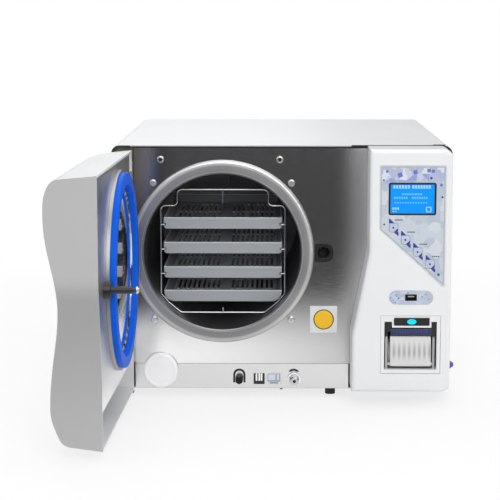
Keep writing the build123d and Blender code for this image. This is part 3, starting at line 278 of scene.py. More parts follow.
def brushed(name, colour, rough, along=(1.0, 40.0, 40.0), scale=55.0, depth=0.00002):
    """Brushed sheet: long fine lines in its relief and gloss."""
    material, tree, bsdf, coords = shader(name)
    bsdf.inputs["Metallic"].default_value = 1.0
    lines = noise(tree, coords, scale, 5.0, stretch=along)
    tree.links.new(shade_between(tree, lines, tint(colour, 0.93), tint(colour, 1.05)),
                   bsdf.inputs["Base Color"])
    tree.links.new(spread(tree, lines, rough - 0.05, rough + 0.07), bsdf.inputs["Roughness"])
    relief(tree, bsdf, lines, depth)
    return material


def polished(name, colour, rough=0.08, smear=0.04):
    """Polished metal with faint wiping marks."""
    material, tree, bsdf, coords = shader(name)
    bsdf.inputs["Metallic"].default_value = 1.0
    wipes = noise(tree, coords, 14.0, 6.0)
    tree.links.new(shade_between(tree, wipes, tint(colour, 0.96), tint(colour, 1.02)),
                   bsdf.inputs["Base Color"])
    tree.links.new(spread(tree, wipes, rough, rough + smear), bsdf.inputs["Roughness"])
    relief(tree, bsdf, noise(tree, coords, 60.0, 2.0), 0.000008)
    return material


def by_place(tree, coords, axis, start, end):
    """0 to 1 between two places along one axis, in metres."""
    return ramp(tree, part_of(tree, coords, axis), start, end, 0.0, 1.0)


def across_between(tree, coords, start, end):
    """0 to 1 between two places across the front, in millimetres from the chamber axis."""
    return by_place(tree, coords, "X", at(start, 0, 0).x, at(end, 0, 0).x)


def blend_colours(tree, value, first, second):
    """Two colour outputs mixed by a value."""
    node = tree.nodes.new("ShaderNodeMix")
    node.data_type = "RGBA"
    tree.links.new(value, node.inputs["Factor"])
    tree.links.new(first, node.inputs["A"])
    tree.links.new(second, node.inputs["B"])
    return node.outputs["Result"]


def two_tone(name, first, second, axis, start, end, rough=0.35):
    """Moulding whose colour passes from one tone to another along an axis."""
    material, tree, bsdf, coords = shader(name)
    share = by_place(tree, coords, axis, start, end)
    patches = noise(tree, coords, 6.0, 4.0)
    low = shade_between(tree, patches, tint(first, 0.97), tint(first, 1.02))
    high = shade_between(tree, patches, tint(second, 0.97), tint(second, 1.02))
    tree.links.new(blend_colours(tree, share, low, high), bsdf.inputs["Base Color"])
    smears = noise(tree, coords, 22.0, 6.0)
    tree.links.new(spread(tree, smears, rough - 0.04, rough + 0.06), bsdf.inputs["Roughness"])
    relief(tree, bsdf, noise(tree, coords, 1500, 2.0), 0.00002)
    return material


def colour_stops(tree, value, stops, interpolation):
    """Colours set along a value."""
    node = tree.nodes.new("ShaderNodeValToRGB")
    node.color_ramp.interpolation = interpolation
    while len(node.color_ramp.elements) < len(stops):
        node.color_ramp.elements.new(0.5)
    for element, (place, colour) in zip(node.color_ramp.elements, stops):
        element.position = place
        element.color = (*colour, 1)
    tree.links.new(value, node.inputs["Fac"])
    return node.outputs["Color"]


def shards(tree, coords, scale, stops):
    """Angular patches, each in one of several tones."""
    cells = tree.nodes.new("ShaderNodeTexVoronoi")
    cells.distance = "MANHATTAN"
    cells.inputs["Scale"].default_value = scale
    tree.links.new(coords, cells.inputs["Vector"])
    parts = tree.nodes.new("ShaderNodeSeparateColor")
    tree.links.new(cells.outputs["Color"], parts.inputs[0])
    return colour_stops(tree, parts.outputs[0], stops, "CONSTANT")


def printed_film(name, full_from, full_to, axis="Z", scale=105.0):
    """Polyester film with a generic pattern of pale and blue shards, strong at one end."""
    material, tree, bsdf, coords = shader(name)
    strong = shards(tree, coords, scale, (
        (0.0, (0.44, 0.48, 0.62)), (0.34, (0.54, 0.58, 0.71)), (0.60, (0.40, 0.45, 0.66)),
        (0.74, (0.30, 0.35, 0.62)), (0.82, (0.66, 0.70, 0.80))))
    faint = shards(tree, coords, 60.0, (
        (0.0, (0.46, 0.52, 0.61)), (0.35, (0.55, 0.60, 0.67)), (0.7, (0.50, 0.55, 0.63)),
        (0.85, (0.62, 0.65, 0.71))))
    share = by_place(tree, coords, axis, full_from, full_to)
    tree.links.new(blend_colours(tree, share, faint, strong), bsdf.inputs["Base Color"])
    smears = noise(tree, coords, 30.0, 5.0)
    tree.links.new(spread(tree, smears, 0.24, 0.36), bsdf.inputs["Roughness"])
    relief(tree, bsdf, noise(tree, coords, 900.0, 2.0), 0.00001)
    return material


def lit_panel(name, colour, strength, rough=0.15):
    """A lit display or lamp lens: its own light under a glossy skin."""
    material, tree, bsdf, coords = shader(name)
    bsdf.inputs["Base Color"].default_value = (*tint(colour, 0.15), 1)
    mottle = noise(tree, coords, 90.0, 2.0)
    tree.links.new(shade_between(tree, mottle, tint(colour, 0.94), tint(colour, 1.0)),
                   bsdf.inputs["Emission Color"])
    bsdf.inputs["Emission Strength"].default_value = strength
    bsdf.inputs["Specular IOR Level"].default_value = 0.3
    wipes = noise(tree, coords, 40.0, 4.0)
    tree.links.new(spread(tree, wipes, rough, rough + 0.1), bsdf.inputs["Roughness"])
    return material


def dress(names, material):
    """Gives each named CAD node one finish."""
    for name in names:
        mesh = nodes[name].data
        mesh.materials.clear()
        mesh.materials.append(material)


# ---------------------------------------------------------------- the CAD pieces' finishes

WHITE = (0.80, 0.81, 0.82)
BLACK = (0.014, 0.014, 0.015)
SHEET_STEEL = (0.74, 0.74, 0.74)
SHEET_GLOSS = 0.12

# Where the pressure plate's mirror passes into its satin rim, in metres from its axis
RIM_INNER = 0.1400
RIM_OUTER = 0.1410


def pin_finish():
    """Blackened shank with a bright coned tip."""
    material, tree, bsdf, coords = shader("blackened_pin")
    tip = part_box("lock_pin")[1][0]
    share = by_place(tree, coords, "X", tip - 0.0045, tip - 0.0035)
    grime = noise(tree, coords, 120.0, 4.0)
    dark = shade_between(tree, grime, (0.012, 0.011, 0.011), (0.03, 0.028, 0.028))
    bright = shade_between(tree, grime, (0.60, 0.60, 0.60), (0.75, 0.75, 0.75))
    tree.links.new(blend_colours(tree, share, dark, bright), bsdf.inputs["Base Color"])
    tree.links.new(share, bsdf.inputs["Metallic"])
    tree.links.new(spread(tree, grime, 0.28, 0.42), bsdf.inputs["Roughness"])
    relief(tree, bsdf, noise(tree, coords, 700.0, 2.0), 0.00002)
    return material


def from_axis(tree, coords, middle, across):
    """Distance of each point from an axis; across has a 1 for each direction square to it."""
    shift = tree.nodes.new("ShaderNodeVectorMath")
    shift.operation = "MULTIPLY_ADD"
    shift.inputs[1].default_value = across
    shift.inputs[2].default_value = [-m * a for m, a in zip(middle, across)]
    tree.links.new(coords, shift.inputs[0])
    length = tree.nodes.new("ShaderNodeVectorMath")
    length.operation = "LENGTH"
    tree.links.new(shift.outputs[0], length.inputs[0])
    return length.outputs["Value"]


def plate_finish():
    """Mirror-polished plate with a satin turned rim, whose steel is set darker as painted shade."""
    material, tree, bsdf, coords = shader("mirror_steel")
    bsdf.inputs["Metallic"].default_value = 1.0
    near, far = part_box("pressure_plate")
    radius = from_axis(tree, coords, (Vector(near) + Vector(far)) / 2, (0, 1, 1))
    rim = ramp(tree, radius, RIM_INNER, RIM_OUTER, 0.0, 1.0)
    wipes = noise(tree, coords, 30.0, 4.0)
    face = shade_between(tree, wipes, (0.67, 0.67, 0.68), (0.72, 0.72, 0.73))
    # The rim's steel set darker than the face: painted shade, beside a real rougher satin finish.
    edge = shade_between(tree, wipes, (0.36, 0.36, 0.37), (0.44, 0.44, 0.45))
    tree.links.new(blend_colours(tree, rim, face, edge), bsdf.inputs["Base Color"])
    tree.links.new(ramp(tree, radius, RIM_INNER, RIM_OUTER, 0.07, 0.42), bsdf.inputs["Roughness"])
    relief(tree, bsdf, noise(tree, coords, 60.0, 2.0), 0.000008)
    return material


def flange_finish():
    """Satin face with painted light: painted highlights on its outer shoulder and inner lip, and
    painted shade at its inner and outer edges and towards its foot.
    """
    material, tree, bsdf, coords = shader("turned_steel")
    bsdf.inputs["Metallic"].default_value = 1.0
    radius = from_axis(tree, coords, at(0, 0, 0), (1, 0, 1))
    share = tree.nodes.new("ShaderNodeMapRange")
    share.inputs["From Min"].default_value = 0.120
    share.inputs["From Max"].default_value = 0.145
    tree.links.new(radius, share.inputs["Value"])
    # Rings by radius: painted highlights on the outer shoulder and inner lip, painted shade at the
    # inner and outer edges.
    tones = ((0.0, 0.30), (0.19, 0.80), (0.26, 0.42), (0.58, 0.46), (0.70, 0.86), (0.86, 0.70),
             (0.95, 0.34))
    stops = [(place, (tone, tone, tone)) for place, tone in tones]
    painted_ring_light = colour_stops(tree, share.outputs["Result"], stops, "LINEAR")
    wipes = noise(tree, coords, 14.0, 6.0)
    # Darker towards the foot and lighter above: painted shade and painted light by height.
    upwards = by_place(tree, coords, "Z", CHAMBER_Z - 0.140, CHAMBER_Z - 0.060)
    painted_shade_low = shade_between(tree, wipes, (0.66, 0.66, 0.66), (0.74, 0.74, 0.74))
    bright = shade_between(tree, wipes, (0.92, 0.92, 0.92), (1.0, 1.0, 1.0))
    painted_height_shade = blend_colours(tree, upwards, painted_shade_low, bright)
    product = tree.nodes.new("ShaderNodeMix")
    product.data_type = "RGBA"
    product.blend_type = "MULTIPLY"
    product.inputs["Factor"].default_value = 1.0
    tree.links.new(painted_ring_light, product.inputs["A"])
    tree.links.new(painted_height_shade, product.inputs["B"])
    tree.links.new(product.outputs["Result"], bsdf.inputs["Base Color"])
    tree.links.new(spread(tree, wipes, 0.34, 0.44), bsdf.inputs["Roughness"])
    relief(tree, bsdf, noise(tree, coords, 60.0, 2.0), 0.000008)
    return material


def edge_finish():
    """Grey side panel of the door, its light painted in by height: lighter above a step at the
    waist, painted shade below it, and painted light growing towards the foot.
    """
    material, tree, bsdf, coords = shader("door_edge_grey")
    # Tones by height stand in for how light falls on the bent panel: painted light and painted
    # shade.
    waist = by_place(tree, coords, "Z", CHAMBER_Z - 0.010, CHAMBER_Z + 0.030)
    foot = by_place(tree, coords, "Z", CHAMBER_Z - 0.020, CHAMBER_Z - 0.240)
    patches = noise(tree, coords, 6.0, 4.0)
    low = shade_between(tree, patches, (0.32, 0.32, 0.325), (0.34, 0.34, 0.345))
    high = shade_between(tree, patches, (0.43, 0.43, 0.435), (0.45, 0.45, 0.455))
    tip = shade_between(tree, patches, (0.42, 0.42, 0.425), (0.44, 0.44, 0.445))
    body = blend_colours(tree, waist, low, high)
    tree.links.new(blend_colours(tree, foot, body, tip), bsdf.inputs["Base Color"])
    smears = noise(tree, coords, 22.0, 6.0)
    tree.links.new(spread(tree, smears, 0.38, 0.48), bsdf.inputs["Roughness"])
    relief(tree, bsdf, noise(tree, coords, 1500, 2.0), 0.00002)
    return material


def inner_panel_finish():
    """Satin inner panel of the door, with painted light making its lower corner brighter."""
    material = polished("inner_panel_steel", (0.58, 0.58, 0.58), 0.30, 0.06)
    tree = material.node_tree
    coords = tree.nodes["Texture Coordinate"].outputs["Object"]
    low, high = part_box("door_inner_panel")
    wipes = noise(tree, coords, 14.0, 6.0)
    upper = shade_between(tree, wipes, (0.54, 0.54, 0.54), (0.59, 0.59, 0.59))
    # Painted light: the lower corner far brighter than the same steel above.
    painted_lit_lower = shade_between(tree, wipes, (0.94, 0.94, 0.94), (0.99, 0.99, 0.99))
    upwards = by_place(tree, coords, "Z", low[2] + 0.004, low[2] + 0.090)
    tree.links.new(blend_colours(tree, upwards, painted_lit_lower, upper),
                   tree.nodes["Principled BSDF"].inputs["Base Color"])
    return material


def panel_finish():
    """Brushed front sheet, dull beside the hinge and beside the console, with painted light in its
    colour: painted shade beside the hinge, a faint painted reflection beside the console, and near
    the floor a painted reflection on the left and painted shade on the right."""
    material = brushed("front_steel", SHEET_STEEL, SHEET_GLOSS)
    tree = material.node_tree
    bsdf = tree.nodes["Principled BSDF"]
    coords = tree.nodes["Texture Coordinate"].outputs["Object"]
    low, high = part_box("front_panel")
    lines = noise(tree, coords, 55.0, 5.0, stretch=(1.0, 40.0, 40.0))
    rightwards = by_place(tree, coords, "X", low[0] + 0.030, low[0] + 0.110)
    to_console = by_place(tree, coords, "X", low[0] + 0.060, high[0] - 0.030)
    upwards = by_place(tree, coords, "Z", CHAMBER_Z - 0.130, CHAMBER_Z - 0.070)
    # Painted shade beside the hinge, painted reflections beside the console and near the floor on
    # the left, painted shade near the floor on the right.
    painted_hinge_shade = shade_between(tree, lines, (0.22, 0.20, 0.17), (0.26, 0.235, 0.20))
    middle = shade_between(tree, lines, (0.74, 0.74, 0.74), (0.80, 0.80, 0.80))
    painted_floor_reflection = shade_between(tree, lines, (0.90, 0.90, 0.90), (0.96, 0.96, 0.96))
    painted_floor_shade = shade_between(tree, lines, (0.44, 0.44, 0.44), (0.50, 0.50, 0.50))
    painted_console_reflection = shade_between(tree, lines, (0.78, 0.78, 0.78), (0.84, 0.84, 0.84))
    past_mouth = across_between(tree, coords, 150, 205)
    above = blend_colours(tree, past_mouth, blend_colours(tree, rightwards, painted_hinge_shade, middle),
                          painted_console_reflection)
    below = blend_colours(tree, to_console, painted_floor_reflection, painted_floor_shade)
    tree.links.new(blend_colours(tree, upwards, below, above), bsdf.inputs["Base Color"])
    gloss = spread(tree, lines, SHEET_GLOSS - 0.05, SHEET_GLOSS + 0.07)
    gloss = blend_values(tree, across_between(tree, coords, 170, 216), gloss, 0.27)
    gloss = blend_values(tree, across_between(tree, coords, -90, -122), gloss, 0.30)
    tree.links.new(gloss, bsdf.inputs["Roughness"])
    return material


def tray_finish(number):
    """Satin aluminium, its light painted in: grey walls, a floor between the slots painted much
    brighter, and a painted highlight along the rim.
    """
    material, tree, bsdf, coords = shader(f"tray_aluminium_{number}")
    bsdf.inputs["Metallic"].default_value = 0.25
    low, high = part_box(f"tray_{number}")
    lines = noise(tree, coords, 55.0, 5.0, stretch=(1.0, 30.0, 30.0))
    # Walls and floor are shaded and lit tones of one aluminium: painted shade and painted light.
    wall = shade_between(tree, lines, (0.35, 0.365, 0.38), (0.40, 0.415, 0.43))
    floor = shade_between(tree, lines, (0.86, 0.88, 0.90), (0.94, 0.95, 0.96))
    rim = shade_between(tree, lines, (0.62, 0.64, 0.66), (0.72, 0.74, 0.76))
    at_floor = by_place(tree, coords, "Z", low[2] + 0.0024, low[2] + 0.0014)
    behind = by_place(tree, coords, "Y", low[1] + 0.0060, low[1] + 0.0080)
    inside = combine(tree, "MULTIPLY", at_floor, behind)
    # A painted highlight along the top of the rim.
    rim_highlight_band = by_place(tree, coords, "Z", high[2] - 0.0016, high[2] - 0.0008)
    body = blend_colours(tree, inside, wall, floor)
    tree.links.new(blend_colours(tree, rim_highlight_band, body, rim), bsdf.inputs["Base Color"])
    tree.links.new(spread(tree, lines, 0.41, 0.53), bsdf.inputs["Roughness"])
    relief(tree, bsdf, lines, 0.00002)
    return material


def cover_finish():
    """Pale cover, with painted shade along the hollows of its flutes."""
    material, tree, bsdf, coords = shader("fluted_cover")
    near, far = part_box("printer_cover")
    left = at(COVER_LEFT, 0, 0).x
    pitch = (COVER_RIGHT - COVER_LEFT) / 1000 / FLUTES
    shifted = tree.nodes.new("ShaderNodeMapping")
    shifted.inputs["Location"].default_value = (-left, 0, 0)
    tree.links.new(coords, shifted.inputs["Vector"])
    bands = tree.nodes.new("ShaderNodeTexWave")
    bands.wave_profile = "SIN"
    bands.inputs["Scale"].default_value = math.pi / 10 / pitch
    bands.inputs["Distortion"].default_value = 0.0
    bands.inputs["Phase Offset"].default_value = -math.pi / 2
    tree.links.new(shifted.outputs["Vector"], bands.inputs["Vector"])
    height = near[2] + 0.47 * (far[2] - near[2])
    above = by_place(tree, coords, "Z", far[2] - 0.002, height)
    below = by_place(tree, coords, "Z", near[2] + 0.006, height)
    share = combine(tree, "MULTIPLY", above, below)
    # Darker bands along the flute hollows: painted shade.
    depth = combine(tree, "MULTIPLY", share, bands.outputs["Fac"])
    patches = noise(tree, coords, 50.0, 3.0)
    pale = shade_between(tree, patches, (0.66, 0.66, 0.66), (0.70, 0.70, 0.70))
    painted_hollow_shade = shade_between(tree, patches, (0.36, 0.36, 0.36), (0.40, 0.40, 0.40))
    tree.links.new(blend_colours(tree, depth, pale, painted_hollow_shade), bsdf.inputs["Base Color"])
    tree.links.new(spread(tree, patches, 0.3, 0.4), bsdf.inputs["Roughness"])
    relief(tree, bsdf, noise(tree, coords, 1200.0, 2.0), 0.00002)
    return material


def bar_finish():
    """Dark blue bar between black arms."""
    material, tree, bsdf, coords = shader("tear_bar")
    left = across_between(tree, coords, COVER_LEFT - 0.2, COVER_LEFT + 0.1)
    right = across_between(tree, coords, COVER_RIGHT + 0.7, COVER_RIGHT + 0.4)
    between_arms = combine(tree, "MULTIPLY", left, right)
    patches = noise(tree, coords, 60.0, 3.0)
    black = shade_between(tree, patches, (0.012, 0.012, 0.013), (0.02, 0.02, 0.022))
    navy = shade_between(tree, patches, (0.020, 0.022, 0.055), (0.030, 0.034, 0.085))
    tree.links.new(blend_colours(tree, between_arms, black, navy), bsdf.inputs["Base Color"])
    tree.links.new(spread(tree, patches, 0.28, 0.4), bsdf.inputs["Roughness"])
    relief(tree, bsdf, noise(tree, coords, 1200.0, 2.0), 0.00002)
    return material


def key_finish(number, across, up):
    """Pale key with a dark blue corner."""
    material, tree, bsdf, coords = shader(f"key_film_{number}")
    slant = combine(tree, "SUBTRACT", part_of(tree, coords, "X"), part_of(tree, coords, "Z"))
    middle = at(across, 0, up)
    fold = middle.x - middle.z + 0.0072
    corner = ramp(tree, slant, fold, fold + 0.0004, 0.0, 1.0)
    patches = noise(tree, coords, 80.0, 3.0)
    pale = shade_between(tree, patches, (0.44, 0.50, 0.64), (0.56, 0.61, 0.72))
    dark = shade_between(tree, patches, (0.035, 0.045, 0.26), (0.05, 0.065, 0.33))
    tree.links.new(blend_colours(tree, corner, pale, dark), bsdf.inputs["Base Color"])
    tree.links.new(spread(tree, patches, 0.3, 0.4), bsdf.inputs["Roughness"])
    relief(tree, bsdf, noise(tree, coords, 900.0, 2.0), 0.00001)
    return material


def finish_cad():
    """Gives every CAD node its finish, and returns the finishes of the small pieces."""
    white_coat = moulding("white_powder_coat", (0.75, 0.76, 0.78), rough=0.38, grain=900)
    shell_white = moulding("white_moulding", WHITE, rough=0.3)
    # Pure white, brighter than the other white mouldings: painted light that lifts the shade low on
    # the front. The small white pieces share it.
    cap_white = moulding("cap_white", (1.0, 1.0, 1.0), rough=0.32)
    grey = moulding("grey_moulding", (0.42, 0.43, 0.44), rough=0.42)
    # Black above and grey below, a two-tone frame; its grey is set light, partly as painted light
    # against the shade of the deep recess.
    cheek_grey = two_tone("cheek_grey", (0.46, 0.46, 0.465), (0.022, 0.022, 0.022), "Z",
                          at(0, 0, -123).z, at(0, 0, -121).z, rough=0.4)
    black = moulding("black_moulding", BLACK, rough=0.32)
    knob_black = moulding("knob_black", (0.006, 0.006, 0.006), rough=0.55, shine=0.25)
    violet = moulding("violet_knob", (0.10, 0.08, 0.42), rough=0.35)
    service_steel = brushed("service_steel", SHEET_STEEL, SHEET_GLOSS)
    case_steel = brushed("case_steel", (0.58, 0.59, 0.60), 0.35)
    zinc = brushed("zinc_plate", (0.72, 0.72, 0.71), 0.3, scale=90.0)
    drawn = polished("drawn_steel", (0.62, 0.63, 0.64), 0.2, 0.08)
    # Steel set dark: painted shade for the inside of the chamber.
    vessel = polished("vessel_steel", (0.30, 0.30, 0.305), 0.3, 0.1)
    seal = moulding("blue_silicone", (0.002, 0.11, 0.72), rough=0.45, grain=500, shine=0.1)
    foot = moulding("black_rubber", (0.02, 0.02, 0.02), rough=0.7)
    felt = moulding("needled_felt", (0.62, 0.61, 0.57), rough=0.95, grain=300, depth=0.0006)
    tank = moulding("milky_tank", (0.62, 0.66, 0.68), rough=0.4)
    board = moulding("green_board", (0.02, 0.12, 0.05), rough=0.35)
    brass = polished("turned_brass", (0.68, 0.49, 0.20), 0.2)
    plate = moulding("label_film", (0.72, 0.72, 0.72), rough=0.4)
    paper = moulding("roll_paper", (0.72, 0.72, 0.71), rough=0.85)
    film = printed_film("overlay_film", CHAMBER_Z + 0.108, CHAMBER_Z + 0.122)
    oval_film = printed_film("oval_film", at(330, 0, 0).x, at(250, 0, 0).x, axis="X", scale=190.0)
    screen = lit_panel("screen_glass", (0.004, 0.30, 0.94), 0.95)
    dress(["casing_cover", "rear_panel"], white_coat)
    dress(["fascia", "door_shell", "printer_bezel"], shell_white)
    dress(["filter_cap"], cap_white)
    dress(["printer_cover"], cover_finish())
    dress(["door_edge"], edge_finish())
    dress(["printer_frame"], cheek_grey)
    dress(["filter_body", "vacuum_pump"], grey)
    dress(["front_trim", "lock_socket", "fan_frame", "fan_rotor", "mains_inlet", "power_rocker",
           "feed_key", "usb_port"], black)
    dress(["drain_knob"], knob_black)
    dress(["print_bar"], bar_finish())
    for number, (across, up) in enumerate(KEY_PLACES, 1):
        dress([f"button_{number}"], key_finish(number, across, up))
    dress(["side_knob"], violet)
    dress(["front_panel"], panel_finish())
    dress(["service_panel"], service_steel)
    dress(["base_pan", "chamber_cradle", "steam_generator"], case_steel)
    dress(["panel_screws", "hinge_brackets", "door_frame", "lock_claw"], zinc)
    dress(["pressure_plate"], plate_finish())
    dress(["door_inner_panel"], inner_panel_finish())
    dress(["chamber_flange"], flange_finish())
    dress(["hinge_pins", "tray_rack", "quick_coupling"], drawn)
    dress(["lock_pin"], pin_finish())
    dress(["chamber_vessel"], vessel)
    for number in range(1, 5):
        dress([f"tray_{number}"], tray_finish(number))
    dress(["door_gasket"], seal)
    dress(["feet"], foot)
    dress(["insulation_jacket"], felt)
    dress(["used_water_tank", "clean_water_tank"], tank)
    dress(["control_board"], board)
    dress(["drain_valve", "side_valve"], brass)
    dress(["blank_plates"], plate)
    dress(["paper_roll"], paper)
    dress(["control_overlay"], film)
    dress(["usb_plate"], oval_film)
    dress(["lcd_screen"], screen)
    return {
        "black": black,
        "white": cap_white,
        "lcd_pale": lit_panel("lcd_pale", (0.36, 0.68, 1.0), 0.85),
        "lcd_mid": lit_panel("lcd_mid", (0.16, 0.50, 1.0), 0.9),
        "cyan_lens": lit_panel("cyan_lens", (0.0, 0.74, 0.86), 1.0),
        "print_blue": moulding("print_blue", (0.035, 0.05, 0.30), rough=0.35),
        "print_violet": moulding("print_violet", (0.13, 0.18, 0.55), rough=0.35),
        "print_dark": moulding("print_dark", (0.045, 0.04, 0.03), rough=0.4),
        "rib_navy": moulding("rib_navy", (0.03, 0.045, 0.22), rough=0.3),
        "pale_blue": moulding("pale_blue", (0.66, 0.74, 0.84), rough=0.35),
        "amber": moulding("amber_print", (0.90, 0.52, 0.0), rough=0.35),
        "rim_grey": moulding("overlay_rim", (0.44, 0.44, 0.47), rough=0.4),
        "dash_grey": moulding("print_grey", (0.15, 0.15, 0.18), rough=0.4),
        "plate_grey": moulding("plate_grey", (0.36, 0.40, 0.45), rough=0.35),
        "contact": polished("contact_alloy", (0.62, 0.60, 0.42), 0.3),
    }


# ---------------------------------------------------------------- modelling by hand

def open_piece(name):
    """Names the primitive that was just added and opens it with all of it selected."""
    piece = bpy.context.object
    piece.name = name
    bpy.ops.object.mode_set(mode="EDIT")
    bpy.ops.mesh.select_all(action="SELECT")
    return piece


def settle(piece, angle=35):
    """Doubles merged, faces outward, and the piece's place put into its mesh."""
    bpy.ops.mesh.select_all(action="SELECT")
    bpy.ops.mesh.remove_doubles(threshold=0.000005)
    bpy.ops.mesh.normals_make_consistent(inside=False)
    bpy.ops.object.mode_set(mode="OBJECT")
    bpy.ops.object.select_all(action="DESELECT")
    piece.select_set(True)
    bpy.context.view_layer.objects.active = piece
    bpy.ops.object.transform_apply(location=True, rotation=True, scale=True)
    bpy.ops.object.shade_smooth_by_angle(angle=math.radians(angle))
    return piece


def carry(piece, body, finish):
    """The piece's finish, and the body it rides on."""
    piece.data.materials.append(finish)
    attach(piece, body)
    return piece


def repeat(piece, shifts):
    """Copies a settled piece, each with its own mesh, and joins the copies to it."""
    copies = []
    for across, up in shifts:
        copy = piece.copy()
        copy.data = piece.data.copy()
        copy.data.transform(Matrix.Translation((across / 1000, 0, up / 1000)))
        bpy.context.collection.objects.link(copy)
        copies.append(copy)
    bpy.ops.object.select_all(action="DESELECT")
    for copy in copies:
        copy.select_set(True)
    piece.select_set(True)
    bpy.context.view_layer.objects.active = piece
    bpy.ops.object.join()
    return piece


def raise_face(thickness, edge=0.0):
    """Extrudes the selected flat face forward and rounds its front edges."""
    bpy.ops.mesh.extrude_region_move(TRANSFORM_OT_translate={"value": (0, -thickness / 1000, 0)})
    if edge:
        bpy.ops.mesh.bevel(offset=edge / 1000, segments=2, affect="EDGES")


def flat_face(name, place, size, corner=0.0):
    """A flat face towards the viewer, of one width and height, with rounded corners."""
    bpy.ops.object.select_all(action="DESELECT")
    bpy.ops.mesh.primitive_plane_add(size=1, location=at(*place), rotation=(math.pi / 2, 0, 0))
    piece = open_piece(name)
    bpy.ops.transform.resize(value=(size[0] / 1000, 1, size[1] / 1000), center_override=at(*place))
    if corner:
        bpy.ops.mesh.bevel(offset=corner / 1000, segments=5, affect="VERTICES")
        bpy.ops.mesh.select_all(action="SELECT")
    return piece


def round_face(name, place, radius, sides=48, squeeze=1.0, turn=0.0):
    """A flat round or many-sided face towards the viewer."""
    bpy.ops.object.select_all(action="DESELECT")
    bpy.ops.mesh.primitive_circle_add(vertices=sides, radius=radius / 1000, fill_type="NGON",
                                      location=at(*place), rotation=(math.pi / 2, turn, 0))
    piece = open_piece(name)
    if squeeze != 1.0:
        bpy.ops.transform.resize(value=(1, 1, squeeze), center_override=at(*place))
    return piece


def flat_piece(name, place, size, corner, thickness, edge=0.0, shifts=()):
    """A flat piece raised from its face, and repeated at each shift."""
    piece = flat_face(name, place, size, corner)
    raise_face(thickness, edge)
    settle(piece)
    return repeat(piece, shifts) if shifts else piece


def round_piece(name, place, radius, thickness, edge=0.0, **shape):
    """A round or many-sided piece raised from its face."""
    piece = round_face(name, place, radius, **shape)
    raise_face(thickness, edge)
    return settle(piece)


def open_ring(width):
    """Turns the selected face into a flat ring of one width."""
    bpy.ops.mesh.inset(thickness=width / 1000, depth=0)
    bpy.ops.mesh.delete(type="FACE")
    bpy.ops.mesh.select_all(action="SELECT")


# ---------------------------------------------------------------- pieces on the console

LCD_FACE = 70.9
FILM_FACE = 71.2
KEY_FACE = 71.8
PLATE_FACE = 71.7

# How thick the printed marks stand, in millimetres
PRINT = 0.12
THIN_PRINT = 0.1


def screen_details(finishes):
    """Black frame round the display, and rows of plain bars on it."""
    centre_x, centre_z = 289.2, 91.4
    piece = flat_face("lcd_frame", (centre_x, LCD_FACE, centre_z), (72.0, 49.4), 3.4)
    open_ring(2.9)
    raise_face(0.5, 0.15)
    carry(settle(piece), "cabinet", finishes["black"])

    rows = (((3.2, 5.2), 29.0, 18.2, 6, 4.3), ((3.2, 5.2), 1.0, 18.2, 7, 4.1),
            ((3.0, 2.6), 16.0, 7.2, 8, 3.9),
            ((2.6, 3.2), 28.0, 1.6, 6, 3.6), ((2.6, 3.2), 0.5, 1.6, 7, 3.5),
            ((2.4, 2.0), 27.0, -5.8, 13, 3.9),
            ((2.6, 3.4), 30.0, -14.6, 3, 3.6), ((2.4, 1.4), 30.0, -18.8, 2, 3.6))
    for number, (size, left, up, count, step) in enumerate(rows, 1):
        start = centre_x - left + size[0] / 2 if left > 2 else centre_x + left
        piece = flat_piece(f"lcd_bars_{number}", (start, LCD_FACE, centre_z + up), size, 0.5, PRINT,
                           shifts=[(step * n, 0) for n in range(1, count)])
        bright = number < 3 or number > 6
        carry(piece, "cabinet", finishes["lcd_pale" if bright else "lcd_mid"])
    piece = flat_face("lcd_mark", (centre_x + 24.6, LCD_FACE, centre_z - 16.0), (8.4, 8.4), 1.8)
    open_ring(1.5)
    raise_face(PRINT)
    carry(settle(piece), "cabinet", finishes["lcd_pale"])


def corner_face(name, centre, place, size, clear_right):
    """A flat right-angled triangle: half of a rectangle cut along its falling diagonal."""
    piece = flat_face(name, (centre[0] + place[0], FILM_FACE, centre[1] + place[1]), size)
    bpy.ops.mesh.bisect(plane_co=at(centre[0] + place[0], FILM_FACE, centre[1] + place[1]),
                        plane_no=(size[1], 0, size[0]), clear_outer=clear_right,
                        clear_inner=not clear_right)
    bpy.ops.mesh.select_all(action="SELECT")
    raise_face(PRINT)
    return settle(piece)


def key_details(finishes):
    """Dark corners printed beside each key, a disc in its middle, and plain dashes for its name."""
    for number, centre in enumerate(KEY_PLACES, 1):
        carry(corner_face(f"key_mark_{number}", centre, (-2.3, 10.2), (9.6, 7.0), True),
              "cabinet", finishes["print_blue"])
        carry(corner_face(f"key_foot_{number}", centre, (3.6, -9.6), (8.2, 5.4), False),
              "cabinet", finishes["print_blue"])
        piece = round_piece(f"key_dot_{number}", (centre[0] - 0.4, KEY_FACE, centre[1]), 1.5,
                            0.25, 0.1, sides=24)
        carry(piece, f"key_{COUNTING[number - 1]}", finishes["print_blue"])
        piece = flat_piece(f"key_dashes_{number}", (centre[0] + 3.6, FILM_FACE, centre[1] + 11.8),
                           (2.5, 2.0), 0.3, THIN_PRINT, shifts=[(3.0 * n, 0) for n in (1, 2, 3)])
        carry(piece, "cabinet", finishes["dash_grey"])


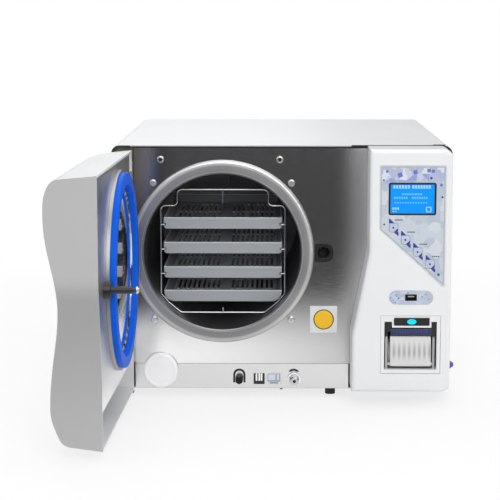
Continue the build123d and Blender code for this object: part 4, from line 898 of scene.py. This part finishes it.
def film_rim(finishes):
    """A thin shadow line where the film is let into the console."""
    low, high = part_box("control_overlay")
    across = (low[0] + high[0]) / 2
    bpy.ops.object.select_all(action="DESELECT")
    bpy.ops.mesh.primitive_plane_add(size=1, location=(across, at(0, FILM_FACE, 0).y,
                                                       (low[2] + high[2]) / 2),
                                     rotation=(math.pi / 2, 0, 0))
    piece = open_piece("overlay_rim")
    bpy.ops.transform.resize(value=(high[0] - low[0], 1, high[2] - low[2]),
                             center_override=(across, 0, (low[2] + high[2]) / 2))
    corner = at(OVERLAY_LEFT, FILM_FACE, OVERLAY_STEP)
    tip = at(OVERLAY_RIGHT, FILM_FACE, OVERLAY_TIP)
    bpy.ops.mesh.bisect(plane_co=corner, plane_no=(corner.z - tip.z, 0, tip.x - corner.x),
                        clear_inner=True)
    bpy.ops.mesh.select_all(action="SELECT")
    open_ring(1.8)
    raise_face(0.15)
    carry(settle(piece), "cabinet", finishes["rim_grey"])


def film_marks(finishes):
    """Small blue lozenges scattered along the top of the overlay, as a generic ornament."""
    places = ((250.6, 133.0, 2.8), (270.2, 127.6, 4.8), (293.1, 132.0, 4.4), (313.6, 134.4, 4.0),
              (320.0, 133.4, 3.4), (317.1, 122.9, 2.6), (332.4, 112.5, 3.0), (245.8, 119.7, 1.8),
              (334.3, 94.2, 2.2), (247.0, 52.5, 1.8), (330.0, -24.0, 2.6))
    for number, (across, up, radius) in enumerate(places, 1):
        piece = round_piece(f"film_mark_{number}", (across, FILM_FACE, up), radius, THIN_PRINT,
                            sides=4, turn=math.radians(11 * number))
        carry(piece, "cabinet", finishes["print_blue" if radius < 2.7 else "print_violet"])


def port_details(finishes):
    """Contact tongue in the data port, and small lozenges printed on its plate."""
    places = ((-30.4, 0.0, 1.2), (-24.0, -7.4, 1.1), (-18.8, -1.2, 1.8), (-4.6, 7.2, 1.5),
              (16.6, 1.2, 1.5), (22.6, 4.6, 1.2), (27.0, -2.4, 1.1), (-22.4, 4.6, 1.0))
    for number, (across, up, radius) in enumerate(places, 1):
        piece = round_piece(f"plate_mark_{number}", (PORT_X + across, PLATE_FACE, PORT_Z + up),
                            radius, THIN_PRINT, sides=4, turn=math.radians(17 * number))
        carry(piece, "cabinet", finishes["print_violet"])
    piece = flat_piece("port_contacts", (PORT_X, 71.2, PORT_Z + 1.6), (9.6, 1.7), 0.2, 0.4, 0.1)
    carry(piece, "cabinet", finishes["contact"])


def top_bead(finishes):
    """Black bead in the joint between the casing's top and the console, thicker at the corner."""
    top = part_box("casing_cover")[1][2]
    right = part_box("casing_cover")[1][0]
    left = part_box("fascia")[0][0]
    for name, start, end, rise in (("top_bead", left, right - 0.030, 0.0014),
                                   ("corner_bead", right - 0.031, right - 0.0120, 0.0024)):
        low = top - 0.0026
        high = top - 0.0004 + rise
        middle = ((start + end) / 2, at(0, 3.1, 0).y, (low + high) / 2)
        bpy.ops.object.select_all(action="DESELECT")
        bpy.ops.mesh.primitive_plane_add(size=1, location=middle, rotation=(math.pi / 2, 0, 0))
        piece = open_piece(name)
        bpy.ops.transform.resize(value=(end - start, 1, high - low), center_override=middle)
        raise_face(1.5, 0.3)
        carry(settle(piece), "cabinet", finishes["black"])


def printer_details(finishes):
    """Cyan lens in the feed key, and short ribs on the tear bar."""
    piece = round_piece("feed_lamp", (290.8, 72.35, -96.7), 7.0, 0.5, 0.2, sides=40, squeeze=0.58)
    carry(piece, "paper_feed", finishes["cyan_lens"])
    piece = flat_piece("bar_ribs", (264.4, 68.4, -112.6), (3.0, 5.4), 0.5, 0.7, 0.2,
                       shifts=[(4.15 * n, 0) for n in range(1, 13)])
    carry(piece, "cabinet", finishes["rib_navy"])


def tray_ends():
    """Full-width front plate on each tray, rounded below and notched where it passes the rails."""
    half_width = 93.0
    notch_from = 89.3
    half_notch = 0.0018
    for number, word in enumerate(COUNTING, 1):
        low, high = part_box(f"tray_{number}")
        middle = (high[2] + low[2]) / 2
        height = (high[2] - low[2]) * 1000
        up = (middle - CHAMBER_Z) * 1000
        ahead = (at(0, 0, 0).y - low[1]) * 1000
        piece = flat_face(f"tray_end_{number}", (0, ahead, up), (2 * half_width, height))
        mesh = bmesh.from_edit_mesh(piece.data)
        place = piece.matrix_world
        bpy.ops.mesh.select_all(action="DESELECT")
        bpy.ops.mesh.select_mode(type="VERT")
        for corner in mesh.verts:
            corner.select = (place @ corner.co).z < middle
        mesh.select_flush_mode()
        bmesh.update_edit_mesh(piece.data)
        lowest = number == 4
        bpy.ops.mesh.bevel(offset=0.016 if lowest else 0.0055, segments=8, affect="VERTICES")
        rail = low[2] + RAIL_RISE / 1000
        for cut_at, cut_along in ((at(notch_from, 0, 0), (1, 0, 0)),
                                  (at(-notch_from, 0, 0), (1, 0, 0)),
                                  ((0, 0, rail - half_notch), (0, 0, 1)),
                                  ((0, 0, rail + half_notch), (0, 0, 1))):
            bpy.ops.mesh.select_all(action="SELECT")
            bpy.ops.mesh.bisect(plane_co=cut_at, plane_no=cut_along)
        bpy.ops.mesh.select_mode(type="FACE")
        bpy.ops.mesh.select_all(action="DESELECT")
        mesh = bmesh.from_edit_mesh(piece.data)
        axis = at(0, 0, 0).x
        for face in mesh.faces:
            spot = place @ face.calc_center_median()
            beside = abs(spot.x - axis) > notch_from / 1000
            face.select = beside and abs(spot.z - rail) < half_notch
        bmesh.update_edit_mesh(piece.data)
        bpy.ops.mesh.delete(type="FACE")
        bpy.ops.mesh.select_all(action="SELECT")
        raise_face(1.1)
        settle(piece)
        carry(piece, f"tray_{word}", bpy.data.materials[f"tray_aluminium_{number}"])


def screw_details(finishes):
    """Black stars on the two large screws above the chamber, painted shade for their star-shaped
    recesses.
    """
    ahead = (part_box("front_panel")[0][1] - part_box("panel_screws")[0][1]) * 1000
    for name, across, up in (("left_star", -95.5, 144.0), ("right_star", 89.3, 144.0)):
        place = at(across, ahead, up)
        piece = round_face(name, (across, ahead, up), 4.6, sides=12)
        mesh = bmesh.from_edit_mesh(piece.data)
        bpy.ops.mesh.select_all(action="DESELECT")
        bpy.ops.mesh.select_mode(type="VERT")
        for number, corner in enumerate(mesh.verts):
            corner.select = number % 2 == 0
        mesh.select_flush_mode()
        bmesh.update_edit_mesh(piece.data)
        bpy.ops.transform.resize(value=(0.45, 1, 0.45), center_override=place)
        bpy.ops.mesh.select_all(action="SELECT")
        raise_face(0.25)
        carry(settle(piece), "cabinet", finishes["black"])


def service_details(finishes):
    """Guards over the drain knob and coupling, the coupling's collar, the plates' marks, a stub
    under the pan, and a plain amber disc."""
    guard_z = -196.0
    for name, across, cut, legs in (("drain_guard", 26.4, 0.0, 12.5),
                                    ("coupling_guard", 112.2, 5.2, 0.0)):
        piece = round_face(name, (across, 0.1, guard_z), 9.7, sides=48)
        open_ring(3.2)
        edge = at(across, 0.1, guard_z + cut)
        bpy.ops.mesh.bisect(plane_co=edge, plane_no=(0, 0, 1), clear_inner=True)
        bpy.ops.mesh.select_all(action="DESELECT")
        if legs:
            mesh = bmesh.from_edit_mesh(piece.data)
            turned = piece.matrix_world
            for line in mesh.edges:
                if all(abs((turned @ v.co).z - edge.z) < 0.00001 for v in line.verts):
                    line.select = True
            bmesh.update_edit_mesh(piece.data)
            bpy.ops.mesh.extrude_region_move(TRANSFORM_OT_translate={"value": (0, 0, -legs / 1000)})
        bpy.ops.mesh.select_all(action="SELECT")
        raise_face(2.4, 0.4)
        carry(settle(piece), "cabinet", finishes["black"])

    piece = round_face("coupling_collar", (112.8, 3.2, SERVICE_Z), 10.4, sides=64)
    open_ring(2.7)
    raise_face(1.6, 0.4)
    carry(settle(piece), "cabinet", finishes["white"])

    for name, place, size, corner, thickness, shifts, finish, slot in (
            ("dark_plate", (57.6, 1.6, SERVICE_Z), (17.4, 17.6), 1.0, 0.15, (),
             "black", "black_plastic"),
            ("dark_plate_bars", (53.4, 1.75, SERVICE_Z + 2.6), (2.6, 12.0), 0.5, 0.15,
             ((4.4, 0.0), (8.0, 0.0)), "white", "plate"),
            ("pale_plate", (80.9, 1.6, SERVICE_Z + 1.6), (20.0, 13.0), 1.0, 0.15, (),
             "plate_grey", "plate"),
            ("pale_plate_window", (77.6, 1.75, SERVICE_Z + 2.2), (11.0, 9.4), 0.8, PRINT, (),
             "pale_blue", "plate"),
            ("pale_plate_strip", (87.2, 1.75, SERVICE_Z + 2.2), (3.4, 9.4), 0.6, PRINT, (),
             "pale_blue", "plate"),
            ("pale_plate_line", (80.9, 1.6, SERVICE_Z - 6.9), (13.0, 1.6), 0.4, PRINT, (),
             "dash_grey", "plate")):
        piece = flat_piece(name, place, size, corner, thickness, shifts=shifts)
        carry(piece, "cabinet", finishes[finish])

    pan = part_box("base_pan")[0][2]
    place = at(92.5, -9.0, 0)
    bpy.ops.object.select_all(action="DESELECT")
    bpy.ops.mesh.primitive_circle_add(vertices=32, radius=0.0026, fill_type="NGON",
                                      location=(place.x, place.y, pan + 0.0002))
    piece = open_piece("pan_stub")
    bpy.ops.mesh.extrude_region_move(TRANSFORM_OT_translate={"value": (0, 0, -0.0034)})
    bpy.ops.transform.resize(value=(0.8, 0.8, 1), center_override=(place.x, place.y, pan))
    bpy.ops.mesh.bevel(offset=0.0004, segments=2, affect="EDGES")
    carry(settle(piece), "cabinet", finishes["dash_grey"])

    for name, ahead, radius, thickness, finish in (("amber_disc", 0.8, 16.0, 0.3, "print_dark"),
                                                   ("amber_field", 1.1, 14.4, 0.25, "amber")):
        piece = round_piece(name, (158.6, ahead, -107.2), radius, thickness, 0.1, sides=64)
        carry(piece, "cabinet", finishes[finish])


studio()
FINISHES = finish_cad()
screen_details(FINISHES)
key_details(FINISHES)
film_rim(FINISHES)
film_marks(FINISHES)
port_details(FINISHES)
top_bead(FINISHES)
printer_details(FINISHES)
tray_ends()
screw_details(FINISHES)
service_details(FINISHES)
